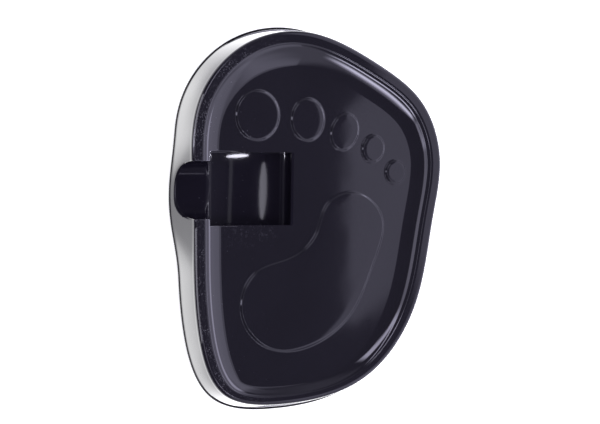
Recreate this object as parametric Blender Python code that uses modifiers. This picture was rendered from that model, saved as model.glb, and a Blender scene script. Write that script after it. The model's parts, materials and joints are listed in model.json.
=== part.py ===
"""Foot pedal: a footprint tray hinged at the heel over a base with return springs and a switch.

Metres, +Z up. The toes point to +Y, the inner side of the right foot to -X, and the floor is Z = 0.
"""

import math

import bmesh
import bpy
import numpy as np
from mathutils import Matrix, Vector

# Gaps between pieces
SEAT = 0.0003
RUN = 0.00015

# Main sizes: the tray's plan is given in shares of them
TRAY_WIDTH = 0.1810
TRAY_LENGTH = 0.2380


def over_tray(shares):
    """Places from shares of the tray's width and length."""
    return tuple((across * TRAY_WIDTH, along * TRAY_LENGTH) for across, along in shares)


# Tray: outline of the skirt's lower edge, counter-clockwise, as knots of a closed spline
OUTLINE = over_tray(
    (
        (0.4862, 0.0000),
        (0.5110, 0.1492),
        (0.4309, 0.3151),
        (0.2459, 0.4181),
        (-0.0635, 0.5000),
        (-0.3177, 0.4496),
        (-0.4724, 0.3046),
        (-0.4890, 0.0420),
        (-0.4669, -0.2710),
        (-0.3564, -0.4664),
        (-0.1188, -0.5000),
        (0.2403, -0.4118),
        (0.4116, -0.2353),
    )
)
OUTLINE_STEPS = 72
TRAY_WALL = 0.0025
SKIRT_GAP = 0.0070
RIM_HEIGHT = 0.0190
TRAY_RISE = 0.0354
DRAFT = 0.0032
RIM_ROUND = 0.0028
RIM_INNER_SIDE = 0.0120
RIM_INNER_END = 0.0100
RIM_LIP = 0.0006
FLOOR_INSET_SIDE = 0.0235
FLOOR_INSET_END = 0.0175
RECESS_DEPTH = 0.0045
SLOPE_STEPS = 4
SLOPE_POWER = 1.4
SPOUT_Y = 0.0336 * TRAY_LENGTH
SPOUT_OUT = 0.0050
SPOUT_HALF_LENGTH = 0.1891 * TRAY_LENGTH

# Tray: footprint pads, each toe as shares for its middle, half width and half length, and a lean in degrees
PAD_HEIGHT = 0.0009
PAD_BEVEL = 0.0011
TOES = tuple(
    (x * TRAY_WIDTH, y * TRAY_LENGTH, wide * TRAY_WIDTH, long * TRAY_LENGTH, lean)
    for x, y, wide, long, lean in (
        (-0.2166, 0.2710, 0.0862, 0.0672, 0.0),
        (-0.0193, 0.2630, 0.0674, 0.0580, 0.0),
        (0.1249, 0.2277, 0.0564, 0.0525, -22.0),
        (0.2343, 0.1807, 0.0464, 0.0387, -20.0),
        (0.3193, 0.1193, 0.0431, 0.0332, -10.0),
    )
)
TOE_STEPS = 24
SOLE = over_tray(
    (
        (0.1630, 0.0693),
        (0.0801, 0.0567),
        (0.0442, 0.0357),
        (0.0055, -0.0378),
        (-0.0829, -0.0987),
        (-0.2099, -0.1408),
        (-0.2597, -0.2395),
        (-0.1657, -0.3466),
        (0.0028, -0.3445),
        (0.1519, -0.2563),
        (0.2431, -0.1155),
        (0.2707, 0.0063),
    )
)
SOLE_STEPS = 48

# Tray: pocket with a round-cornered trough, and the channel that falls from it out through the inner rim
POCKET_X = -0.2453 * TRAY_WIDTH
POCKET_Y = 0.0756 * TRAY_LENGTH
POCKET_WIDTH = 0.3105 * TRAY_WIDTH
POCKET_LENGTH = 0.1891 * TRAY_LENGTH
POCKET_DEPTH = 0.0100
CHANNEL_Y = 0.0714 * TRAY_LENGTH
CHANNEL_WIDTH = 0.1471 * TRAY_LENGTH
CHANNEL_DEPTH = 0.0153
CHANNEL_FALL = 0.12
POCKET_POWER = 3.5
CHANNEL_POWER = 3.0
TROUGH_STEPS = 16

# Tray: ribs below the floor, each as x, first y, last y
RIBS = (
    (-0.0110 * TRAY_WIDTH, -0.3277 * TRAY_LENGTH, 0.3277 * TRAY_LENGTH),
    (0.1657 * TRAY_WIDTH, -0.2521 * TRAY_LENGTH, 0.2017 * TRAY_LENGTH),
)
RIB_WIDTH = 0.0020
RIB_DEPTH = 0.0040

# Base
FOOT_HEIGHT = 0.0030
BASE_THICK = 0.0024
BASE_CLEARANCE = 0.0018
BASE_CHAMFER = 0.0005
FEET = over_tray(((-0.3204, 0.3529), (0.3094, 0.2857), (-0.3315, -0.3361), (0.2210, -0.3193)))
FOOT_RADIUS = 0.0080
FOOT_EDGE_INSET = 0.0008
FOOT_EDGE_RISE = 0.0011
FOOT_RECESS_RADIUS = 0.0038
FOOT_RECESS_DEPTH = 0.0018
BOSS_RADIUS = 0.0042
BOSS_HEIGHT = 0.0045

# Screws
SCREW_RADIUS = 0.0013
SCREW_HEAD_RADIUS = 0.0028
SCREW_HEAD_HEIGHT = 0.0015
SCREW_CROWN_INSET = 0.0008
SCREW_CROWN_DROP = 0.0007
SCREW_POINT = 0.0006
FOOT_SCREW_LENGTH = 0.0055

# Hinge, along X at the heel
HINGE_X = -0.0663 * TRAY_WIDTH
HINGE_Y = -0.38655 * TRAY_LENGTH
HINGE_RISE = 0.0056
PRESS_DEG = 1.6
PIN_RADIUS = 0.0020
PIN_GROOVE_DEPTH = 0.0004
PIN_END = 0.0015
CLIP_THICK = 0.0008
CLIP_RADIUS = 0.0038
LUG_SPREAD = 0.0500
LUG_THICK = 0.0060
LUG_RADIUS = 0.0046
BUSH_WALL = 0.0011
BUSH_FLANGE_RADIUS = 0.0042
BUSH_FLANGE_THICK = 0.0010
BRACKET_THICK = 0.0015
BRACKET_WIDTH = 0.0180
BRACKET_FLANGE = 0.0110
BRACKET_SCREW_SPREAD = 0.0110

# Stops
HEEL_STOP_X = -0.1105 * TRAY_WIDTH
HEEL_STOP_Y = -0.4475 * TRAY_LENGTH
HEEL_STOP_SIZE = (0.0300, 0.0070, 0.0022)
HEEL_STOP_ROUND = 0.0004
HEEL_RIB_SIZE = (0.0260, 0.0040)
DOWN_STOP_X = -0.0110 * TRAY_WIDTH
DOWN_STOP_Y = 0.3866 * TRAY_LENGTH
DOWN_STOP_RADIUS = 0.0060
DOWN_STOP_TAPER = 0.0015
DOWN_STOP_CROWN = 0.0027

# Return springs
SPRINGS = (
    ("left", -0.2210 * TRAY_WIDTH, 0.3109 * TRAY_LENGTH),
    ("right", 0.1878 * TRAY_WIDTH, 0.2857 * TRAY_LENGTH),
)
SPRING_RADIUS = 0.0055
SPRING_WIRE = 0.0012
SPRING_TURNS = 6
SPRING_TURN_POINTS = 10
SPRING_SEAT_DROP = 0.0012
SPRING_SEAT_MARGIN = 0.0025
SPIGOT_CLEARANCE = 0.0008
SPIGOT_HEIGHT = 0.0018

# Switch, under the tray's striker
SWITCH_X = 0.0829 * TRAY_WIDTH
PLUNGER_ARM = 0.0500
SWITCH_LENGTH = 0.0200
SWITCH_WIDTH = 0.0064
SWITCH_HEIGHT = 0.0068
PLUNGER_RADIUS = 0.0014
PLUNGER_RISE = 0.0017
PLUNGER_SUNK = 0.0026
SWITCH_SCREW_SPREAD = 0.0095
SWITCH_SCREW_RISE = 0.0034
SWITCH_SCREW_RADIUS = 0.0010
SWITCH_SCREW_HEAD_RADIUS = 0.0020
SWITCH_BRACKET_FLANGE = 0.0100
STRIKER_RADIUS = 0.0040
STRIKER_HEAD = 0.0014
STRIKER_EDGE_INSET = 0.0008
STRIKER_EDGE_RISE = 0.0005
STRIKER_SHANK_RADIUS = 0.0014
STRIKER_BOSS_RADIUS = 0.0050

# Jack socket, through a panel at the base's outer edge
JACK_Y = -0.0840 * TRAY_LENGTH
JACK_LENGTH = 0.0200
JACK_WIDTH = 0.0140
JACK_HEIGHT = 0.0096
JACK_BORE_RADIUS = 0.0033
JACK_NOSE_RADIUS = 0.0045
JACK_PANEL_THICK = 0.0025
JACK_PANEL_WIDTH = 0.0170
JACK_NUT_RADIUS = 0.0062
JACK_NUT_THICK = 0.0020
JACK_NOSE_OUT = 0.0014
JACK_BACK_WALL = 0.0020
NOTCH_WIDTH = 0.0160
NOTCH_TOP_GAP = 0.0034

# Blades and wires
BLADE_LENGTH = 0.0060
BLADE_SUNK = 0.0020
BLADE_THICK = 0.0006
BLADE_HEIGHT = 0.0022
SWITCH_BLADE_SPREAD = 0.0036
SWITCH_BLADE_RISE = 0.0023
JACK_BLADE_SPREAD = 0.0060
WIRE_RADIUS = 0.0007
WIRE_STEPS = 12

ROUND = 24
ROUND_SMALL = 12

# Places worked out from the sizes above
BASE_TOP = FOOT_HEIGHT + BASE_THICK
HINGE_Z = BASE_TOP + HINGE_RISE
SWITCH_Y = HINGE_Y + PLUNGER_ARM
SWITCH_BOTTOM = BASE_TOP + SEAT
SWITCH_TOP = SWITCH_BOTTOM + SWITCH_HEIGHT
PLUNGER_TOP = SWITCH_TOP + PLUNGER_RISE
STRIKER_BOTTOM = PLUNGER_TOP + SEAT
STRIKER_TOP = STRIKER_BOTTOM + STRIKER_HEAD
JACK_BOTTOM = BASE_TOP + SEAT
JACK_Z = JACK_BOTTOM + JACK_HEIGHT / 2
PRESS = math.radians(PRESS_DEG)
TILT = math.atan(TRAY_RISE)
SPRING_INNER = SPRING_RADIUS - SPRING_WIRE / 2
SPIGOT_RADIUS = SPRING_INNER - SPIGOT_CLEARANCE
SPRING_SEAT_RADIUS = SPRING_RADIUS + SPRING_SEAT_MARGIN

FINISHES = {
    "tray_plastic": ((0.012, 0.012, 0.018), 0.16, 0.0),
    "base_plastic": ((0.020, 0.020, 0.022), 0.55, 0.0),
    "rubber": ((0.018, 0.018, 0.018), 0.85, 0.0),
    "zinc_steel": ((0.60, 0.60, 0.58), 0.35, 1.0),
    "spring_steel": ((0.45, 0.45, 0.47), 0.30, 1.0),
    "nylon": ((0.75, 0.74, 0.68), 0.45, 0.0),
    "switch_plastic": ((0.03, 0.03, 0.035), 0.50, 0.0),
    "plunger_plastic": ((0.55, 0.05, 0.04), 0.40, 0.0),
    "brass": ((0.72, 0.55, 0.25), 0.30, 1.0),
    "wire_cover": ((0.45, 0.03, 0.03), 0.45, 0.0),
}


def rim_z(y):
    """Height of the rim's top, which climbs towards the toes."""
    return SKIRT_GAP + RIM_HEIGHT + TRAY_RISE * y


def floor_z(y):
    """Height of the tray floor's upper face."""
    return rim_z(y) - RECESS_DEPTH


def under_z(y):
    """Height of the tray floor's lower face."""
    return floor_z(y) - TRAY_WALL


def pressed_drop(y):
    """How far a point of the tray at this y goes down at full press."""
    return (y - HINGE_Y) * math.sin(PRESS)


# Scene and objects


def clear_scene():
    for obj in list(bpy.data.objects):
        bpy.data.objects.remove(obj, do_unlink=True)


def new_collection(name):
    collection = bpy.data.collections.new(name)
    bpy.context.scene.collection.children.link(collection)
    return collection


def finish_material(name):
    """The Principled material of a finish, made on first use."""
    if name in bpy.data.materials:
        return bpy.data.materials[name]
    colour, roughness, metallic = FINISHES[name]
    material = bpy.data.materials.new(name)
    material.use_nodes = True
    shader = material.node_tree.nodes["Principled BSDF"]
    shader.inputs["Base Color"].default_value = (*colour, 1.0)
    shader.inputs["Roughness"].default_value = roughness
    shader.inputs["Metallic"].default_value = metallic
    material.diffuse_color = (*colour, 1.0)
    return material


class Workshop:
    """Keeps the collections and the empty that the tray turns on."""

    def __init__(self):
        self.parts = new_collection("foot_pedal")
        self.tools = new_collection("foot_pedal_cutters")
        self.axis = bpy.data.objects.new("treadle_axis", None)
        self.parts.objects.link(self.axis)
        self.axis.location = (HINGE_X, HINGE_Y, HINGE_Z)
        self.slide = bpy.data.objects.new("plunger_axis", None)
        self.parts.objects.link(self.slide)
        self.slide.location = (SWITCH_X, SWITCH_Y, PLUNGER_TOP)

    def part(self, obj, finish, rides_on=None):
        """Keeps an object as a piece, with its finish and the empty that it moves with."""
        self.parts.objects.link(obj)
        obj.data.materials.append(finish_material(finish))
        if rides_on is not None:
            obj.parent = rides_on
            obj.matrix_parent_inverse = Matrix.Translation(rides_on.location).inverted()
        return obj

    def tool(self, obj):
        """Keeps an object as a cutter or as a shape to be joined to a piece."""
        self.tools.objects.link(obj)
        obj.hide_render = True
        obj.display_type = "WIRE"
        return obj

    def combine(self, target, operand, operation):
        """Adds a Boolean of the operand to the target."""
        modifier = target.modifiers.new(operand.name, "BOOLEAN")
        modifier.operation = operation
        modifier.solver = "EXACT"
        modifier.object = self.tool(operand)

    def cut(self, target, operand):
        self.combine(target, operand, "DIFFERENCE")

    def join(self, target, operand):
        self.combine(target, operand, "UNION")


def mesh_object(name, bm, smooth=False):
    """An object that owns the bmesh, with faces pointing out."""
    bmesh.ops.recalc_face_normals(bm, faces=bm.faces[:])
    mesh = bpy.data.meshes.new(name)
    bm.to_mesh(mesh)
    bm.free()
    if smooth:
        mesh.shade_smooth()
        mesh.set_sharp_from_angle(angle=math.radians(35))
    return bpy.data.objects.new(name, mesh)


def box(name, low, high):
    """A block between two corners."""
    bm = bmesh.new()
    bmesh.ops.create_cube(bm, size=1.0)
    low, high = Vector(low), Vector(high)
    bmesh.ops.scale(bm, vec=high - low, verts=bm.verts)
    bmesh.ops.translate(bm, vec=(low + high) / 2, verts=bm.verts)
    return mesh_object(name, bm)


def cylinder(name, start, end, radius, segments=ROUND):
    """A rod from start to end."""
    start, end = Vector(start), Vector(end)
    run = end - start
    turn = run.to_track_quat("Z", "Y").to_matrix().to_4x4()
    bm = bmesh.new()
    bmesh.ops.create_cone(
        bm, cap_ends=True, segments=segments, radius1=radius, radius2=radius, depth=run.length
    )
    bmesh.ops.transform(bm, matrix=Matrix.Translation((start + end) / 2) @ turn, verts=bm.verts)
    return mesh_object(name, bm, smooth=True)


def turned(name, profile, closed=False, steps=ROUND):
    """A profile of radius and height, listed down its outer side, spun about Z."""
    mesh = bpy.data.meshes.new(name)
    points = [(radius, 0.0, height) for radius, height in profile]
    edges = [(i, i + 1) for i in range(len(points) - 1)]
    if closed:
        edges.append((len(points) - 1, 0))
    mesh.from_pydata(points, edges, [])
    obj = bpy.data.objects.new(name, mesh)
    screw = obj.modifiers.new("spin", "SCREW")
    screw.steps = steps
    screw.render_steps = steps
    screw.use_merge_vertices = True
    screw.merge_threshold = 0.00001
    screw.use_smooth_shade = True
    return obj


def loft(name, rings, cap_first=True, cap_last=True):
    """A skin through rings of equal point count."""
    bm = bmesh.new()
    loops = [[bm.verts.new(point) for point in ring] for ring in rings]
    for lower, upper in zip(loops, loops[1:]):
        for i in range(len(lower)):
            j = (i + 1) % len(lower)
            bm.faces.new((lower[i], lower[j], upper[j], upper[i]))
    if cap_first:
        bm.faces.new(list(reversed(loops[0])))
    if cap_last:
        bm.faces.new(loops[-1])
    return mesh_object(name, bm, smooth=True)


def meshed(curve):
    """A mesh object with the curve's evaluated shape, caps welded, in place of the curve."""
    bpy.context.scene.collection.objects.link(curve)
    bpy.context.view_layer.update()
    shape = curve.evaluated_get(bpy.context.evaluated_depsgraph_get())
    mesh = bpy.data.meshes.new_from_object(shape)
    bm = bmesh.new()
    bm.from_mesh(mesh)
    bmesh.ops.remove_doubles(bm, verts=bm.verts, dist=0.000001)
    bmesh.ops.recalc_face_normals(bm, faces=bm.faces[:])
    bm.to_mesh(mesh)
    bm.free()
    name, place = curve.name, curve.matrix_world.copy()
    bpy.data.objects.remove(curve)
    obj = bpy.data.objects.new(name, mesh)
    obj.matrix_world = place
    return obj


def prism(name, section, thickness, placement):
    """A flat outline given its thickness, placed by a matrix that turns its XY plane."""
    data = bpy.data.curves.new(name, "CURVE")
    data.dimensions = "2D"
    data.fill_mode = "BOTH"
    data.extrude = thickness / 2
    spline = data.splines.new("POLY")
    spline.points.add(len(section) - 1)
    for point, (across, up) in zip(spline.points, section):
        point.co = (across, up, 0.0, 1.0)
    spline.use_cyclic_u = True
    curve = bpy.data.objects.new(name, data)
    curve.matrix_world = placement
    return meshed(curve)


def tube(name, points, radius, resolution):
    """A round wire along points."""
    data = bpy.data.curves.new(name, "CURVE")
    data.dimensions = "3D"
    data.bevel_depth = radius
    data.bevel_resolution = resolution
    data.use_fill_caps = True
    spline = data.splines.new("POLY")
    spline.points.add(len(points) - 1)
    for point, place in zip(spline.points, points):
        point.co = (*place, 1.0)
    return meshed(bpy.data.objects.new(name, data))


# Placements for prisms: the first word is the outline's across axis, the last its thickness


def across_x(x, y, z, tilt=0.0):
    """Outline in X and Z, thickness along Y, turned about X by tilt."""
    return Matrix.Translation((x, y, z)) @ Matrix.Rotation(math.pi / 2 + tilt, 4, "X")


def across_y(x, y, z, climb=0.0):
    """Outline in Y and Z, thickness along X, climbing towards +X."""
    turn = Matrix(((0, 0, 1), (1, 0, 0), (0, 1, 0))).to_4x4()
    return Matrix.Translation((x, y, z)) @ Matrix.Rotation(-math.atan(climb), 4, "Y") @ turn


# Outlines


def spline_loop(knots, count):
    """A closed cubic spline of even curvature: points and outward normals at equal steps.

    The second derivatives at the knots solve the usual cyclic three-term equations.
    """
    knots = np.asarray(knots)
    size = len(knots)
    ahead = np.roll(knots, -1, axis=0)
    step = np.hypot(*(ahead - knots).T)
    slope = (ahead - knots) / step[:, None]
    system = np.zeros((size, size))
    for i in range(size):
        system[i, i - 1] += step[i - 1]
        system[i, i] += 2 * (step[i - 1] + step[i])
        system[i, (i + 1) % size] += step[i]
    bend = np.linalg.solve(system, 6 * (slope - np.roll(slope, 1, axis=0)))
    ends = np.concatenate(([0.0], np.cumsum(step)))
    at = np.linspace(0.0, ends[-1], count, endpoint=False)
    i = np.searchsorted(ends, at, side="right") - 1
    j = (i + 1) % size
    reach = step[i][:, None]
    b = ((at - ends[i]) / step[i])[:, None]
    a = 1 - b
    curve = ((a**3 - a) * bend[i] + (b**3 - b) * bend[j]) * reach**2 / 6
    points = a * knots[i] + b * knots[j] + curve
    run = slope[i] + ((3 * b**2 - 1) * bend[j] - (3 * a**2 - 1) * bend[i]) * reach / 6
    normals = np.stack((run[:, 1], -run[:, 0]), axis=1)
    return points, normals / np.hypot(*normals.T)[:, None]


def ellipse_loop(x, y, half_width, half_length, lean_deg, count):
    """Points and outward normals of a leaning ellipse."""
    turn = np.linspace(0.0, 2 * math.pi, count, endpoint=False)
    lean = math.radians(lean_deg)
    spin = np.array(((math.cos(lean), -math.sin(lean)), (math.sin(lean), math.cos(lean))))
    points = np.stack((half_width * np.cos(turn), half_length * np.sin(turn)), axis=1)
    normals = np.stack((half_length * np.cos(turn), half_width * np.sin(turn)), axis=1)
    normals /= np.hypot(*normals.T)[:, None]
    return points @ spin.T + (x, y), normals @ spin.T


TRAY_LOOP, TRAY_NORMALS = spline_loop(OUTLINE, OUTLINE_STEPS)


def inset_ring(side, end, height, loop=TRAY_LOOP, normals=TRAY_NORMALS):
    """The loop moved in by one width at the sides and another at the ends, at a height by y."""
    flat = loop - normals * (side, end)
    return [(x, y, height(y)) for x, y in flat]


def trough_section(half_width, depth, power, top):
    """A U across and up, that widens to 0 and stands straight above.

    Its bottom is half of a superellipse: an ellipse at power 2, with squarer corners above that.
    """
    turns = np.linspace(0.0, math.pi, TROUGH_STEPS + 1)
    across = np.sign(np.cos(turns)) * np.abs(np.cos(turns)) ** (2 / power)
    down = np.abs(np.sin(turns)) ** (2 / power)
    down[[0, -1]] = 0.0
    arc = [(-half_width * a, -depth * d) for a, d in zip(across, down)]
    return arc + [(half_width, top), (-half_width, top)]


# Tray


def tray_rings():
    """Rings from the skirt's edge over the rim and down to the floor's edge."""
    spout = np.cos(np.clip((TRAY_LOOP[:, 1] - SPOUT_Y) / SPOUT_HALF_LENGTH, -1, 1) * math.pi)
    spout = SPOUT_OUT * (1 + spout) / 2 * (TRAY_LOOP[:, 0] < 0)
    edge = [(x - out, y, SKIRT_GAP) for (x, y), out in zip(TRAY_LOOP, spout)]
    rings = [edge]
    for turn in (0, math.pi / 4, math.pi / 2):
        inset = DRAFT + RIM_ROUND * (1 - math.cos(turn))
        drop = RIM_ROUND * (1 - math.sin(turn))
        rings.append(inset_ring(inset, inset, lambda y, drop=drop: rim_z(y) - drop))
    for back, drop in ((2 * RIM_LIP, 0.0), (0.0, RIM_LIP)):
        rings.append(
            inset_ring(
                RIM_INNER_SIDE - back, RIM_INNER_END - back, lambda y, drop=drop: rim_z(y) - drop
            )
        )
    for i in range(1, SLOPE_STEPS + 1):
        t = i / SLOPE_STEPS
        drop = RIM_LIP + (RECESS_DEPTH - RIM_LIP) * (1 - (1 - t) ** SLOPE_POWER)
        rings.append(
            inset_ring(
                RIM_INNER_SIDE + (FLOOR_INSET_SIDE - RIM_INNER_SIDE) * t,
                RIM_INNER_END + (FLOOR_INSET_END - RIM_INNER_END) * t,
                lambda y, drop=drop: rim_z(y) - drop,
            )
        )
    return rings


def pad(name, loop, normals):
    """A footprint pad that stands on the floor, with bevelled edges that run down into it."""
    root = TRAY_WALL / 2
    levels = ((-PAD_BEVEL * root / PAD_HEIGHT, -root), (PAD_BEVEL, PAD_HEIGHT))
    rings = [
        inset_ring(inset, inset, lambda y, rise=rise: floor_z(y) + rise, loop, normals)
        for inset, rise in levels
    ]
    return loft(name, rings)


def pocket_shape(name, grow, top):
    """The pocket's trough, grown by a wall, along the floor's slope."""
    section = trough_section(POCKET_WIDTH / 2 + grow, POCKET_DEPTH + grow, POCKET_POWER, top)
    place = across_x(POCKET_X, POCKET_Y, floor_z(POCKET_Y), TILT)
    return prism(name, section, POCKET_LENGTH + 2 * grow, place)


def channel_shape(name, grow, top, reach):
    """The channel's trough, grown by a wall, from the pocket's middle out past the skirt."""
    section = trough_section(CHANNEL_WIDTH / 2 + grow, CHANNEL_DEPTH + grow, CHANNEL_POWER, top)
    mouth = TRAY_LOOP[:, 0].min() - SPOUT_OUT
    outer = mouth - reach
    middle = (outer + POCKET_X) / 2
    height = rim_z(CHANNEL_Y) + (middle - mouth) * CHANNEL_FALL
    place = across_y(middle, CHANNEL_Y, height, CHANNEL_FALL)
    return prism(name, section, POCKET_X - outer, place)


def lug(name, x):
    """An ear that hangs from the tray's floor round the hinge axis."""
    top = floor_z(HINGE_Y) - TRAY_WALL / 2 - HINGE_Z
    turns = [math.pi * i / (ROUND // 2) for i in range(ROUND // 2 + 1)]
    arc = [(-LUG_RADIUS * math.cos(t), -LUG_RADIUS * math.sin(t)) for t in turns]
    section = arc + [(LUG_RADIUS, top), (-LUG_RADIUS, top)]
    return prism(name, section, LUG_THICK, across_y(x, HINGE_Y, HINGE_Z))


def tray_blank(name):
    """The tray's form as a solid, drawn in by half a wall: it trims what stands below the floor."""
    blank = loft(name, tray_rings())
    draw_in = blank.modifiers.new("draw_in", "DISPLACE")
    draw_in.mid_level = 0.0
    draw_in.strength = -TRAY_WALL / 2
    return blank


def build_tray(shop):
    rings = tray_rings()
    tray = loft("foot_tray", rings, cap_first=False)
    shell = tray.modifiers.new("wall", "SOLIDIFY")
    shell.thickness = TRAY_WALL
    shell.offset = -1.0
    shell.use_even_offset = True
    shop.part(tray, "tray_plastic", shop.axis)

    mid = TRAY_WALL / 2
    above = RECESS_DEPTH + RIM_ROUND
    for name, shape in (
        ("pocket_walls", pocket_shape("pocket_walls", TRAY_WALL, above)),
        ("channel_walls", channel_shape("channel_walls", TRAY_WALL, above, TRAY_WALL)),
    ):
        shop.combine(shape, tray_blank(name + "_trim"), "INTERSECT")
        shop.join(tray, shape)
    for side, x in hinge_sides(LUG_SPREAD):
        shop.join(tray, lug("lug_" + side, x))
    for side, x, y in SPRINGS:
        seat = spring_top(y)
        shop.join(
            tray,
            cylinder("spring_seat_" + side, (x, y, seat), (x, y, floor_z(y) - mid), SPRING_SEAT_RADIUS),
        )
        shop.join(
            tray,
            cylinder("spigot_" + side, (x, y, seat - SPIGOT_HEIGHT), (x, y, seat + mid), SPIGOT_RADIUS),
        )
    shop.join(
        tray,
        cylinder(
            "striker_boss",
            (SWITCH_X, SWITCH_Y, STRIKER_TOP + SEAT),
            (SWITCH_X, SWITCH_Y, floor_z(SWITCH_Y) - mid),
            STRIKER_BOSS_RADIUS,
        ),
    )
    for number, (x, first, last) in enumerate(RIBS, 1):
        middle = (first + last) / 2
        depth = RIB_DEPTH + mid
        half = RIB_WIDTH / 2
        section = [(-half, -depth), (half, -depth), (half, 0.0), (-half, 0.0)]
        place = across_x(x, middle, floor_z(middle) - mid, TILT)
        shop.join(tray, prism(f"rib_{number}", section, last - first, place))
    wide, thick = HEEL_RIB_SIZE
    shop.join(
        tray,
        box(
            "heel_rib",
            (HEEL_STOP_X - wide / 2, HEEL_STOP_Y - thick / 2, heel_stop_top() + SEAT),
            (HEEL_STOP_X + wide / 2, HEEL_STOP_Y + thick / 2, floor_z(HEEL_STOP_Y)),
        ),
    )
    for number, toe in enumerate(TOES, 1):
        shop.join(tray, pad(f"toe_{number}", *ellipse_loop(*toe, TOE_STEPS)))
    shop.join(tray, pad("sole", *spline_loop(SOLE, SOLE_STEPS)))

    shop.cut(tray, pocket_shape("pocket_hollow", 0.0, above))
    shop.cut(tray, channel_shape("channel_hollow", 0.0, above, DRAFT))
    bore = BUSH_WALL + PIN_RADIUS + RUN + SEAT
    reach = LUG_SPREAD / 2 + LUG_THICK
    shop.cut(
        tray,
        cylinder(
            "bush_bores", (HINGE_X - reach, HINGE_Y, HINGE_Z), (HINGE_X + reach, HINGE_Y, HINGE_Z), bore
        ),
    )
    shop.cut(
        tray,
        cylinder(
            "striker_bore",
            (SWITCH_X, SWITCH_Y, STRIKER_BOTTOM),
            (SWITCH_X, SWITCH_Y, striker_shank_top() + SEAT),
            STRIKER_SHANK_RADIUS + SEAT,
        ),
    )
    shop.cut(tray, jack_notch("jack_notch"))


# Hinge


def hinge_sides(spread):
    """Left and right places along the hinge."""
    return (("left", HINGE_X - spread / 2), ("right", HINGE_X + spread / 2))


def outward(side):
    return -1 if side == "left" else 1


def bracket_x(side):
    """Inner face of a bracket's ear, beyond the bush's flange."""
    beyond = LUG_SPREAD / 2 + LUG_THICK / 2 + BUSH_FLANGE_THICK + 2 * SEAT
    return HINGE_X + outward(side) * (beyond + SEAT)


def bracket_screw_places(side):
    """The two screw places on a bracket's flange."""
    x = bracket_x(side) + outward(side) * (BRACKET_THICK + BRACKET_FLANGE) / 2
    return [(x, HINGE_Y + way * BRACKET_SCREW_SPREAD / 2) for way in (-1, 1)]


def build_hinge(shop):
    bore = PIN_RADIUS + RUN
    for side, x in hinge_sides(LUG_SPREAD):
        half = LUG_THICK / 2
        profile = [
            (BUSH_FLANGE_RADIUS, half + SEAT + BUSH_FLANGE_THICK),
            (BUSH_FLANGE_RADIUS, half + SEAT),
            (bore + BUSH_WALL, half + SEAT),
            (bore + BUSH_WALL, -half),
            (bore, -half),
            (bore, half + SEAT + BUSH_FLANGE_THICK),
        ]
        bush = turned("pivot_bush_" + side, profile, closed=True)
        bush.matrix_world = (
            Matrix.Translation((x, HINGE_Y, HINGE_Z))
            @ Matrix.Rotation(outward(side) * math.pi / 2, 4, "Y")
        )
        shop.part(bush, "nylon", shop.axis)
        build_bracket(shop, side)
    build_pin(shop)


def build_bracket(shop, side):
    """An angle bracket: an ear round the pin and a flange that is screwed to the base."""
    out = outward(side)
    ear_x = bracket_x(side) + out * BRACKET_THICK / 2
    root = BASE_TOP + SEAT + BRACKET_THICK / 2 - HINGE_Z
    half = BRACKET_WIDTH / 2
    foot = (half + LUG_RADIUS) / 2
    turns = [math.pi * i / (ROUND // 2) for i in range(ROUND // 2 + 1)]
    arc = [(LUG_RADIUS * math.cos(t), LUG_RADIUS * math.sin(t)) for t in turns]
    section = arc + [(-foot, root), (foot, root)]
    bracket = prism("hinge_bracket_" + side, section, BRACKET_THICK, across_y(ear_x, HINGE_Y, HINGE_Z))
    shop.part(bracket, "zinc_steel")
    first = bracket_x(side)
    inner = first - out * SEAT / 2
    last = first + out * (BRACKET_THICK + BRACKET_FLANGE)
    flange = box(
        "bracket_flange_" + side,
        (min(inner, last), HINGE_Y - half, BASE_TOP + SEAT),
        (max(inner, last), HINGE_Y + half, BASE_TOP + SEAT + BRACKET_THICK),
    )
    shop.join(bracket, flange)
    reach = BRACKET_THICK * out
    shop.cut(
        bracket,
        cylinder(
            "pin_hole_" + side,
            (first - reach, HINGE_Y, HINGE_Z),
            (first + 2 * reach, HINGE_Y, HINGE_Z),
            PIN_RADIUS + RUN,
        ),
    )
    for number, (x, y) in enumerate(bracket_screw_places(side), 1):
        top = BASE_TOP + 3 * BRACKET_THICK
        shop.cut(bracket, hole_z(f"bracket_hole_{side}_{number}", x, y, BASE_TOP, top))
        fixing = screw(f"bracket_screw_{side}_{number}", BRACKET_THICK + SEAT + BASE_THICK)
        fixing.location = (x, y, BASE_TOP + SEAT + BRACKET_THICK + SEAT)
        shop.part(fixing, "zinc_steel")


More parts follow.
